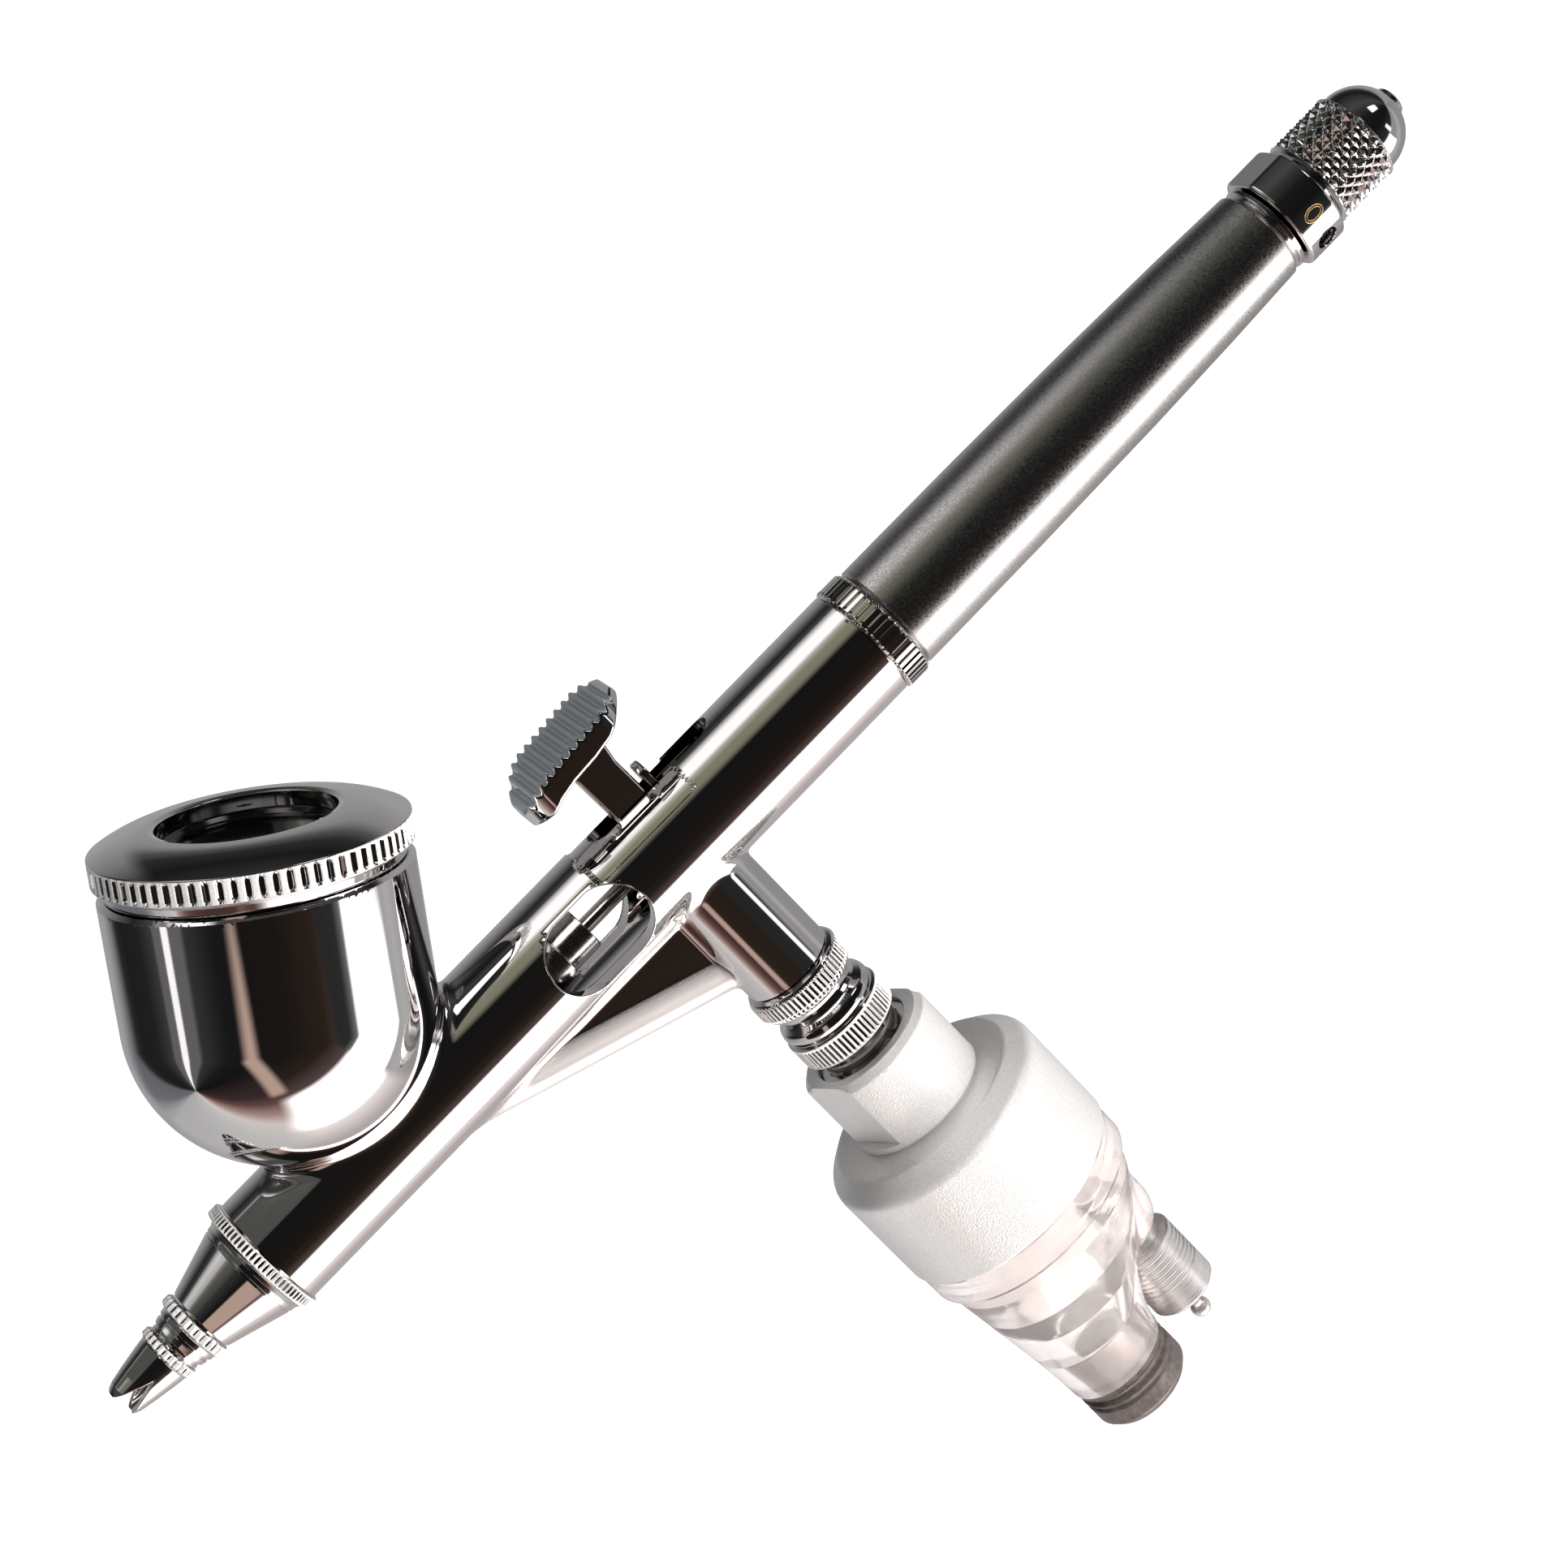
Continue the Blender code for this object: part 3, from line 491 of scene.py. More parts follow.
def capsule(p, start, end, radius):
    start, end = np.array(start, float), np.array(end, float)
    length = np.linalg.norm(end - start)
    axis = (end - start) / length
    offset = p - start
    along = np.clip(offset @ axis, 0, length)
    return np.linalg.norm(offset - along[:, None] * axis, axis=1) - radius


def obround(u, v, half_length, radius):
    """Distance in a plane to a slot with round ends along u."""
    return np.hypot(np.maximum(np.abs(u) - (half_length - radius), 0), v) - radius


def polygon(r, h, outline):
    """Signed distance to a closed outline in the (radius, height) half plane."""
    best = np.full(r.shape, 1e9)
    sign = np.ones(r.shape)
    count = len(outline)
    for i in range(count):
        ax, ay = outline[i][:2]
        bx, by = outline[i - 1][:2]
        ex, ey = bx - ax, by - ay
        wx, wy = r - ax, h - ay
        share = np.clip((wx * ex + wy * ey) / (ex * ex + ey * ey), 0, 1)
        best = np.minimum(best, (wx - ex * share) ** 2 + (wy - ey * share) ** 2)
        above, below, left = h >= ay, h < by, ex * wy > ey * wx
        flip = (above & below & left) | (~above & ~below & ~left)
        sign = np.where(flip, -sign, sign)
    return sign * np.sqrt(best)


def slope(field, p, step=0.004):
    """Gradient of a distance field by central differences."""
    out = np.empty_like(p)
    for axis in range(3):
        shift = np.zeros(3)
        shift[axis] = step
        out[:, axis] = (field(p + shift) - field(p - shift)) / (2 * step)
    return out


def unit(v):
    return v / np.maximum(np.linalg.norm(v, axis=-1, keepdims=True), 1e-12)


def crossings(field, value, corner, cell, axis):
    """Where the surface cuts the grid lines along one axis: grid index, direction, point."""
    ahead = [slice(None)] * 3
    behind = [slice(None)] * 3
    ahead[axis], behind[axis] = slice(1, None), slice(None, -1)
    a, b = value[tuple(behind)], value[tuple(ahead)]
    index = np.argwhere((a < 0) != (b < 0))
    fa, fb = a[tuple(index.T)], b[tuple(index.T)]
    start = corner + index * cell
    low, high = np.zeros(len(index)), np.ones(len(index))
    rising = fa < 0
    share = fa / (fa - fb)
    for _ in range(6):
        point = start.copy()
        point[:, axis] += share * cell
        inside = field(point) < 0
        low = np.where(inside == rising, share, low)
        high = np.where(inside == rising, high, share)
        share = (low + high) / 2
    point = start.copy()
    point[:, axis] += share * cell
    return index, rising, point


def contour(field, low, high, cell):
    """Dual contouring: vertices, quads and corner normals of the surface where field is zero."""
    corner = np.array(low, float)
    shape = np.ceil((np.array(high, float) - corner) / cell).astype(int) + 1
    value = np.empty(shape)
    ys = corner[1] + cell * np.arange(shape[1])
    zs = corner[2] + cell * np.arange(shape[2])
    yy, zz = np.meshgrid(ys, zs, indexing="ij")
    for i in range(shape[0]):
        xx = np.full(yy.size, corner[0] + cell * i)
        value[i] = field(np.stack([xx, yy.ravel(), zz.ravel()], -1)).reshape(yy.shape)
    owners, points, normals, quads = [], [], [], []
    for axis in range(3):
        index, rising, point = crossings(field, value, corner, cell, axis)
        normal = unit(slope(field, point))
        u, v = (axis + 1) % 3, (axis + 2) % 3
        around = []
        for du, dv in ((-1, -1), (0, -1), (0, 0), (-1, 0)):
            box = index.copy()
            box[:, u] += du
            box[:, v] += dv
            around.append(np.ravel_multi_index(tuple(box.T), shape))
            owners.append(around[-1])
            points.append(point)
            normals.append(normal)
        quad = np.stack(around, -1)
        quads.append(np.where(rising[:, None], quad, quad[:, ::-1]))
    owners, quads = np.concatenate(owners), np.concatenate(quads)
    points, normals = np.concatenate(points), np.concatenate(normals)
    boxes, slot = np.unique(owners, return_inverse=True)
    total = len(boxes)
    share = np.bincount(slot, minlength=total)
    middle = np.stack([np.bincount(slot, points[:, k], total) / share for k in range(3)], -1)
    offset = ((points - middle[slot]) * normals).sum(1)
    right = np.stack([np.bincount(slot, normals[:, k] * offset, total) for k in range(3)], -1)
    left = np.empty((total, 3, 3))
    for a in range(3):
        for b in range(3):
            left[:, a, b] = np.bincount(slot, normals[:, a] * normals[:, b], total)
    left += 0.02 * np.eye(3)
    vertex = middle + np.linalg.solve(left, right[..., None])[..., 0]
    box_low = corner + np.stack(np.unravel_index(boxes, shape), -1) * cell
    vertex = np.clip(vertex, box_low, box_low + cell)
    for _ in range(2):
        push = slope(field, vertex)
        size = np.maximum((push ** 2).sum(1), 0.2)
        vertex = vertex - push * (np.clip(field(vertex), -0.2 * cell, 0.2 * cell) / size)[:, None]
    faces = np.searchsorted(boxes, quads)
    return vertex, faces, corner_normals(field, vertex, faces)


def corner_normals(field, vertex, faces, crease=math.cos(math.radians(9))):
    """Normals of the vertices, or across a crease those just inside each face."""
    at_vertex = unit(slope(field, vertex))[faces]
    centre = vertex[faces].mean(1, keepdims=True)
    inside = vertex[faces] + 0.15 * (centre - vertex[faces])
    near = unit(slope(field, inside.reshape(-1, 3))).reshape(inside.shape)
    same = (at_vertex * near).sum(-1, keepdims=True) > crease
    return np.where(same, at_vertex, near)


def sculpt(name, node, finish, field, low, high, cell):
    """Build a piece from a distance field given in mm in the frame's axes."""
    cell = cell
    vertex, faces, normals = contour(field, low, high, cell)
    mesh = bpy.data.meshes.new(name)
    mesh.from_pydata((vertex * MM).tolist(), [], faces.tolist())
    mesh.shade_smooth()
    mesh.normals_split_custom_set(normals.reshape(-1, 3).tolist())
    return add_piece(mesh, name, node, finish)


# ---- body: barrel, cup, valve stem, air passage -----------------------------------------
WINDOW_X = span("packing_screw", X)[1]
SLOT_FRONT, SLOT_REAR, SLOT_HALF_WIDTH = -4.6, 9.4, 1.6
SADDLE_FRONT, SADDLE_REAR, SADDLE_DEPTH = -6.6, 4.5, 0.22
WEB_HALF = 0.95


def cup_place(p):
    """Height along the cup's axis and distance from it."""
    offset = p - CUP_FOOT
    along = offset @ CUP_AXIS
    return along, np.linalg.norm(offset - along[..., None] * CUP_AXIS, axis=-1)


def cup_distance(along, across, inset):
    """A round-bottomed cup solid, open-ended upward, shrunk by inset."""
    return np.hypot(across, np.minimum(along - CUP_STRAIGHT, 0)) - (CUP_R - inset)


def body_outside(p):
    x, y, z = p.T
    radial, upright = np.hypot(y, z), np.hypot(x, y)
    barrel = both(radial - BARREL_R, within(x, BARREL_FRONT, BARREL_REAR))
    saddle = both(within(x, SADDLE_FRONT, SADDLE_REAR), 3.1 - z, BARREL_R - SADDLE_DEPTH - radial)
    barrel = both(barrel, -saddle)
    spigot = both(radial - 4.6, within(x, BARREL_REAR - 1, 29.0))
    along, across = cup_place(p)
    bevel = (along - CUP_RIM + across - CUP_R) * COS45 + 0.25
    cup = both(cup_distance(along, across, 0.0), along - CUP_RIM, bevel)
    bevel = (upright - 4.2 + STEM_END - z) * COS45 + 0.12
    stem = both(upright - 4.2, within(z, STEM_END, 0), bevel)
    start, end, radius = AIR_TUBE
    run, rise = end[0] - start[0], end[2] - start[2]
    line = ((x - start[0]) * rise - (z - start[2]) * run) / math.hypot(run, rise)
    web = both(np.abs(y) - WEB_HALF, -line, x + 2.0, z + 2.5, end[0] - x)
    under = smooth_union(smooth_union(web, capsule(p, start, end, radius), 0.55), stem, 0.7)
    return either(smooth_union(smooth_union(barrel, under, 0.8), cup, 1.5), spigot)


def body_hollow(p):
    x, y, z = p.T
    radial, upright = np.hypot(y, z), np.hypot(x, y)
    bore = either(both(radial - 4.0, -19.5 - x), both(radial - 2.4, -24.6 - x),
                  both(radial - 1.2, -42.2 - x), both(radial - 3.6, x + 42.2))
    along, across = cup_place(p)
    drain = both(across - 1.6, within(along, 0.4, 8))
    valve = either(both(upright - 3.3, z + 7.8), both(upright - 1.35, z + 1.0),
                   both(upright - 2.0, within(z, -5.2, -1.0)))
    window = obround(x - WINDOW_X, z, 5.15, 3.55)
    middle = (SLOT_FRONT + SLOT_REAR) / 2
    slot = obround(x - middle, y, (SLOT_REAR - SLOT_FRONT) / 2, SLOT_HALF_WIDTH)
    cup = cup_distance(along, across, 1.0)
    return either(bore, cup, drain, valve, window, both(slot, 2.0 - z))


def body_field(p):
    return both(body_outside(p), -body_hollow(p))


def build_body():
    sculpt("gun_body_shell", "body_shell", body_chrome(), body_field,
           (BARREL_FRONT - 0.8, -13.7, -16.4), (29.7, 13.7, 31.8), 0.30)
    window_rims()


def window_rims():
    """Bright broken edge round each side of the barrel's window."""
    for side, tag in ((-1, "near"), (1, "far")):
        turn = np.arange(96) * 2 * np.pi / 96
        x = WINDOW_X + 3.55 * np.cos(turn) + np.where(np.cos(turn) > 0, 1.6, -1.6)
        z = 3.55 * np.sin(turn)
        points = np.stack([x, side * np.sqrt(BARREL_R ** 2 - z ** 2), z], -1)
        ring_along("window_rim_" + tag, points, 0.075, "body_shell", BRIGHT)


def ring_along(name, points, radius, node, finish):
    """A closed loop of round wire, as a mesh."""
    curve = bpy.data.curves.new(name, "CURVE")
    curve.dimensions = "3D"
    curve.bevel_depth = radius * MM
    curve.bevel_resolution = 2
    line = curve.splines.new("POLY")
    line.points.add(len(points) - 1)
    for point, place in zip(line.points, points):
        point.co = (*place * MM, 1)
    line.use_cyclic_u = True
    rough = bpy.data.objects.new(name + "_curve", curve)
    bpy.context.scene.collection.objects.link(rough)
    bpy.context.view_layer.update()
    evaluated = rough.evaluated_get(bpy.context.evaluated_depsgraph_get())
    mesh = bpy.data.meshes.new_from_object(evaluated)
    bpy.data.objects.remove(rough, do_unlink=True)
    mesh.shade_smooth()
    mesh.materials.clear()
    return add_piece(mesh, name, node, finish, False)


def polish(made, chosen, finish, facing_up=False):
    """Give the faces whose centres are chosen a second finish."""
    made.data.materials.append(finish)
    extra = len(made.data.materials) - 1
    for face in made.data.polygons:
        if (face.normal.z > 0.5 or not facing_up) and chosen(np.array(face.center / MM)):
            face.material_index = extra


def burnish(made, above, upright=False):
    """Burnish teeth where they stand beyond a radius from the barrel's or the valve's axis."""
    first = X if upright else Z
    polish(made, lambda p: math.hypot(p[first], p[Y]) > above, CRESTS)


# ---- cup lid ----------------------------------------------------------------------------
def build_lid():
    crown = [(7.9 + 0.65 * i, 33.42 - (0.65 * i) ** 2 / 18.5, 0) for i in range(8)]
    outline = rounded([
        (0.6, 31.35), (6.9, 31.35, 0.5), (7.35, 31.9, 0.3), (7.42, 33.3, 0.12), (7.9, 33.42, 0.1)]
        + crown[1:] + [(13.1, 31.95, 0.15), (13.1, 29.75, 0.15), (12.55, 29.5, 0.1),
        (12.3, 28.7, 0.1), (11.75, 28.7, 0.05), (11.75, 26.8, 0.1), (10.85, 26.8, 0.1),
        (10.85, 30.5, 0.3), (0.6, 30.5)], 0.1)
    low, high = 29.86, 31.85
    outline = filled(outline, low - 0.1, high + 0.1, 0.25)
    teeth = straight_knurl(low, high, 74, 0.34, 0.16, 0.35, 12.7)
    made = lathe("cup_lid_knurled", "cup_lid", CHROME, outline, UP_CUP, 888, teeth)

    def in_recess_painted_shade(p):
        along, across = cup_place(p)
        return along > 31.0 and across < 7.36

    def on_flutes(p):
        along, across = cup_place(p)
        return low < along < high and across > 13.0

    # Painted shade: the faces inside the lid's recess get the near-black chrome.
    polish(made, in_recess_painted_shade, PAINTED_SHADE_RECESS)
    polish(made, on_flutes, CRESTS)


# ---- spray head -------------------------------------------------------------------------
def build_spray_head():
    rear = span("head_base", X)[1]
    ring_front, ring_rear = rear - 4.75, rear - 3.55
    outline = rounded([
        (3.45, rear), (3.45, ring_rear, 0), (5.45, ring_rear, 0.05), (5.72, ring_rear - 0.12, 0.1),
        (5.72, ring_front + 0.12, 0.1), (5.4, ring_front, 0.05), (5.02, ring_front - 0.12, 0.1),
        (4.82, ring_front - 0.5, 0.25), (4.78, ring_front - 0.9, 0.05),
        (4.68, ring_front - 0.96, 0.03), (4.66, ring_front - 1.08, 0.03),
        (4.70, ring_front - 1.14, 0.05), (3.1, ring_front - 6.42, 0.1),
        (1.98, ring_front - 6.45, 0.05), (1.98, rear - 12.9, 0.05), (1.5, rear - 12.9, 0.05),
        (1.5, rear - 7.6, 0), (1.2, rear - 7.6, 0), (1.2, rear)], 0.06)
    outline = filled(outline, ring_front, ring_rear, 0.12)
    teeth = straight_knurl(ring_front + 0.1, ring_rear - 0.1, 74, 0.24, 0.14, 0.0, 5.3)
    made = lathe("spray_head_cone", "head_base", CHROME, outline, TO_TAIL, 888, teeth)
    burnish(made, 5.59)

    rear = span("nozzle_cap", X)[1]
    ring = rear - 1.15
    outline = rounded([
        (2.05, rear), (3.0, rear, 0.1), (3.38, rear - 0.25, 0.2), (3.38, ring + 0.2, 0.2),
        (3.0, ring, 0.1), (2.9, ring - 0.1, 0.05), (2.84, ring - 0.55, 0.05),
        (2.66, ring - 0.62, 0.04), (2.64, ring - 0.8, 0.04), (2.74, ring - 0.88, 0.05),
        (2.62, ring - 1.35, 0.05),
        (2.42, ring - 1.42, 0.04), (2.40, ring - 1.62, 0.04), (2.48, ring - 1.7, 0.05),
        (2.38, ring - 1.95, 0.05), (1.86, ring - 2.0, 0.05), (1.86, rear - 3.95, 0.05),
        (1.0, rear - 3.95, 0.05), (1.75, rear - 2.05, 0), (2.05, rear - 1.95, 0)], 0.05)
    outline = filled(outline, ring, rear, 0.12)
    beads = straight_knurl(ring + 0.02, rear - 0.02, 28, 0.30, 0.3, 0.1, 2.95)
    made = lathe("nozzle_cap_knurled", "nozzle_cap", CHROME, outline, TO_TAIL, 448,
                 beads)
    burnish(made, 3.16)

    nozzle = rounded([
        (0.95, -51.0), (1.42, -51.0), (1.42, -56.4), (1.3, -56.5), (0.36, -59.7), (0.22, -59.7),
        (0.85, -56.3), (0.95, -55.0)], 0.04)
    lathe("fluid_nozzle_cone", "fluid_nozzle", STEEL_X, nozzle, TO_TAIL, 64)
    build_crown()


def build_crown():
    """Crown cap: a beaded ring and a tapering nose split into two prongs."""
    tip, rear = span("needle_cap", X)
    ring = rear - 0.95
    nose = [
        (1.93, rear), (2.5, rear), (2.78, rear - 0.2), (2.78, ring + 0.2), (2.5, ring),
        (2.42, ring - 0.1), (2.36, ring - 0.7), (2.2, ring - 1.7), (1.98, ring - 3.0),
        (1.72, tip + 0.75), (1.52, tip + 0.25), (1.34, tip), (1.2, tip + 0.12),
        (1.28, ring - 0.2), (1.93, ring - 0.15)]
    apex = rear - 2.75

    def field(p):
        x, y, z = p.T
        radial, turn = np.hypot(y, z), np.arctan2(z, y)
        wave = np.abs((turn * 26 / (2 * np.pi)) % 1 * 2 - 1)
        cut = 0.26 * np.clip((wave - 0.1) / 0.9, 0, 1) * fade(x, ring, rear, 0.28)
        turned = polygon(radial + np.where(radial > 2.3, cut, 0), x, nose) * 0.85
        wedge = np.abs(z) * 0.953 + (x - apex) * 0.300
        return smooth_both(turned, -wedge, 0.10)

    made = sculpt("crown_cap_pronged", "needle_cap", CHROME, field,
                  (tip - 0.3, -3.1, -3.1), (rear + 0.3, 3.1, 3.1), 0.07)
    burnish(made, 2.6)


# ---- collar, handle, dial and knob ------------------------------------------------------
def build_tail():
    front, rear = span("rear_collar", X)
    outline = filled(rounded([
        (4.68, rear), (5.2, rear, 0.05), (COLLAR_R, rear - 0.3, 0.1), (COLLAR_R, front + 0.3, 0.1),
        (5.2, front, 0.05), (4.68, front)], 0.05), front + 0.05, rear - 0.05, 0.2)
    flutes = straight_knurl(front + 0.2, rear - 0.2, 50, 0.26, 0.2, 0.5, 5.0)
    lathe("rear_collar_fluted", "rear_collar", CHROME, outline, TO_TAIL, 600, flutes)
    build_handle()
    build_dial()
    build_knob()


def build_handle():
    """Satin sleeve with a polished stepped neck behind it."""
    front, end = span("handle_sleeve", X)
    rear = end - 0.9
    outline = rounded([
        (2.1, end), (3.9, end, 0.1), (4.32, end - 0.04, 0.08), (4.32, rear + 0.42, 0.08),
        (3.9, rear + 0.36, 0.05), (3.92, rear + 0.1, 0.1), (4.2, rear, 0.08),
        (4.42, rear - 0.3, 0.2),
        (4.72, 64.0, 30), (4.98, 54.0, 40), (5.16, 40.0, 40), (5.2, 30.0, 20),
        (5.2, front + 0.25, 0.1), (4.95, front, 0.1), (4.68, front, 0), (4.68, 30.5, 0),
        (3.9, 31.0, 0), (3.9, 66.0, 0), (2.1, 66.5, 0)], 0.1, 6, 0.1)
    made = lathe("handle_sleeve_satin", "handle_sleeve", GRAPHITE, outline,
                 TO_TAIL, 256)
    polish(made, lambda p: p[X] > rear - 0.02, CHROME)


def build_dial():
    """Dial ring with two flats, rounded rims and a grub-screw hole."""
    front, rear = span("preset_dial", X)
    radius, flat = 4.95, span("preset_dial", Z)[1]
    grub = Vector((0, -math.sin(math.radians(130)), math.cos(math.radians(130))))
    centre = (front + rear) / 2

    def field(p):
        x, y, z = p.T
        radial = np.hypot(y, z)
        ring = smooth_both(radial - radius, within(x, front, rear), 0.35)
        ring = both(smooth_both(ring, np.abs(z) - flat, 0.12), 2.6 - radial)
        outward = y * grub[1] + z * grub[2]
        side = np.hypot(x - centre, y * grub[2] - z * grub[1])
        hole = both(side - 0.95 - 0.35 * np.clip(outward - 4.6, 0, 1), 2.0 - outward)
        return both(ring, -hole)

    sculpt("preset_dial_ring", "preset_dial", CHROME, field,
           (front - 0.3, -5.3, -5.3), (rear + 0.3, 5.3, 5.3), 0.09)
    loops = (("outer", 0.95, 0.62, 0.055), ("inner", 0.74, 0.43, 0.04))
    for tag, along, around, thickness in loops:
        turn = np.arange(48) * 2 * np.pi / 48
        angle = math.radians(-3) + around * np.sin(turn) / radius
        points = np.stack([centre + along * np.cos(turn), -(radius + 0.02) * np.cos(angle),
                           (radius + 0.02) * np.sin(angle)], -1)
        ring_along("dial_zero_" + tag, points, thickness, "preset_dial", GOLD)


def build_knob():
    front, apex = span("preset_knob", X)[0] + 4.5, span("preset_knob", X)[1]
    shoulder = apex - 4.5
    dome = [(4.05 * math.sin(math.radians(a)), shoulder + 0.25 + 4.05 * math.cos(math.radians(a)))
            for a in range(22, 91, 6)]
    outline = [(0, apex), (1.15, apex, 0.12), (1.35, apex - 0.15, 0.1)]
    outline += [(r, h, 0) for r, h in dome]
    outline += [(4.05, shoulder, 0.1), (4.4, shoulder - 0.15, 0.1), (4.4, front + 0.3, 0.1),
                (4.1, front, 0.1), (2.5, front, 0.1), (2.5, front - 4.5, 0.05),
                (1.55, front - 4.5, 0.05), (1.55, apex - 5.4, 0), (0, apex - 4.8, 0)]
    outline = filled(rounded(outline, 0.05), front + 0.1, shoulder - 0.1, 0.08)
    pyramids = diamond_knurl(front + 0.25, shoulder - 0.2, 24, 1.18, 0.40, 4.2)
    lathe("preset_knob_knurled", "preset_knob", CHROME, outline, TO_TAIL, 560, pyramids)


# ---- trigger and auxiliary lever --------------------------------------------------------
def build_trigger():
    front, rear = span("trigger", X)
    top, foot_z = span("trigger", Z)[1], -2.5
    ribs, side = 12, 4.7

    def pad_top(x):
        part = (rear - 0.5 - x) / (rear - front - 1.1)
        roll = np.maximum(0.0, part - 0.72) / 0.28
        ripple = 0.21 * np.cos(2 * np.pi * ribs * np.clip(part, 0.02, 1))
        return top - 0.17 - 0.9 * part - 1.1 * roll ** 2 + ripple

    def pad_under(x):
        return np.interp(x, [-7.0, front + 0.6, -5.2, -3.9, -2.0, 0.5, 2.4, 3.6, 4.4, 5.6],
                         [9.8, 9.9, 10.1, 10.7, 11.05, 11.2, 11.5, 12.0, 12.4, 12.9])

    def field(p):
        x, y, z = p.T
        skin = both((z - pad_top(x)) * 0.8, (pad_under(x) - z) * 0.9)
        plan = obround(x - (front + rear) / 2, y, (rear - front) / 2 + 0.35, 5.4)
        plan = both(smooth_both(plan, np.abs(y) - side, 0.3), within(x, front, rear))
        pad = smooth_both(skin, plan, 0.35)
        waist_front = np.interp(z, [-1, 2.6, 4.2, 9.6, 12], [-1.25, -1.25, -1.8, -1.95, -2.6])
        waist_rear = np.interp(z, [-1, 1.5, 3.4, 8.6, 12], [1.25, 1.25, 1.75, 1.65, 2.2])
        stem = smooth_both(within(x, waist_front, waist_rear), np.abs(y) - 1.3, 0.4)
        foot = both(np.hypot(x, z - foot_z) - 1.25, np.abs(y) - 1.3)
        stem = either(both(stem, within(z, foot_z, 12.0)), foot)
        fork = obround(z - 0.8, y, 2.3, 0.95)
        return both(smooth_union(pad, stem, 1.0), -fork)

    made = sculpt("trigger_ribbed", "trigger", CHROME, field,
                  (front - 0.5, -5.2, foot_z - 1.7), (rear + 0.5, 5.2, top + 0.5), 0.12)

    def on_ribs(p):
        x, y, z = p
        return z > pad_top(x) - 0.15 and abs(y) < side - 0.25 and x < rear - 0.75

    polish(made, on_ribs, PAD, facing_up=True)


def build_lever():
    low_x, high_x = span("auxiliary_lever", X)
    low_z, high_z = span("auxiliary_lever", Z)
    centre, half = (low_x + high_x) / 2, (high_x - low_x) / 2

    def field(p):
        x, y, z = p.T
        blade = both(np.hypot(y, np.maximum(z - (high_z - 1.3), 0)) - 1.3, low_z - z)
        blade = smooth_both(blade, np.abs(x - centre) - half, 0.25)
        return both(blade, -obround(z - 0.3, y, 1.9, 0.95))

    sculpt("auxiliary_lever_disc", "auxiliary_lever", CHROME, field,
           (low_x - 0.3, -1.7, low_z - 0.3), (high_x + 0.3, 1.7, high_z + 0.3), 0.09)


# ---- needle parts seen in the window ----------------------------------------------------
def build_needle_parts():
    tip, end = span("needle", X)
    outline = rounded([
        (0, end), (0.55, end, 0.05), (0.7, end - 0.3, 0.1), (0.7, -49.0, 2), (0.11, -59.6, 1),
        (0.03, tip, 0), (0, tip)], 0.05)
    lathe("needle_polished", "needle", STEEL_X, outline, TO_TAIL, 48)
    rear = span("packing_screw", X)[1]
    outline = rounded([
        (0.85, rear), (2.1, rear, 0.1), (2.1, rear - 2.9, 0.05), (2.9, rear - 3.0, 0.1),
        (2.9, rear - 9.4, 0.1), (2.3, rear - 9.5, 0.05), (2.3, rear - 12.7, 0.1),
        (0.85, rear - 12.7)], 0.06)
    lathe("packing_screw_turned", "packing_screw", STEEL_X, outline, TO_TAIL, 96)


# ---- air valve rings and union ----------------------------------------------------------
def build_valve_rings():
    top = -15.7
    outline = rounded([
        (1.35, -9.5), (3.2, -9.5), (3.2, -15.6, 0), (4.2, -15.65, 0.05), (4.55, top - 0.1, 0.2),
        (RING_R, top - 0.65, 0.25), (RING_R, top - 1.9, 0.2), (4.55, top - 2.4, 0.1),
        (3.9, top - 2.5, 0.1), (3.0, top - 2.5, 0.05), (3.0, -22.0), (1.95, -22.0),
        (1.95, -11.6), (1.35, -11.5)], 0.05)
    outline = filled(outline, top - 2.45, top, 0.12)
    teeth = straight_knurl(top - 2.3, top - 0.3, 62, 0.28, 0.35, 0.0, 4.35)
    made = lathe("valve_casing_ringed", "valve_casing", CHROME, outline, UP, 744, teeth)
    burnish(made, RING_R - 0.15, True)

    ring_top, ring_low = -21.35, -23.8
    outline = rounded([
        (3.06, -18.35), (3.85, -18.4, 0.1), (3.7, -18.95, 0.5), (3.95, -19.45, 0.35),
        (4.5, -19.9, 0.5), (4.66, -20.5, 0.6), (4.45, -21.2, 0.15), (RING_R, ring_top, 0.06),
        (RING_R, ring_low + 0.2, 0.1), (4.55, ring_low, 0.1), (4.2, ring_low - 0.35, 0.2),
        (3.9, -24.5, 0.1), (3.9, -26.95, 0.05), (4.55, -27.05, 0.05), (4.55, -28.4, 0.05),
        (1.8, -28.4), (1.8, -22.4), (3.06, -22.3)], 0.05)
    outline = filled(outline, ring_low, ring_top, 0.12)
    teeth = straight_knurl(ring_low + 0.15, ring_top - 0.05, 62, 0.28, 0.25, 0.0, 4.7)
    made = lathe("union_collar_waisted", "union_collar", CHROME, outline, UP, 744, teeth)
    burnish(made, RING_R - 0.15, True)


# ---- moisture filter --------------------------------------------------------------------
NECK_FLAT = 5.6
NECK_FLAT_TURN = math.radians(20)


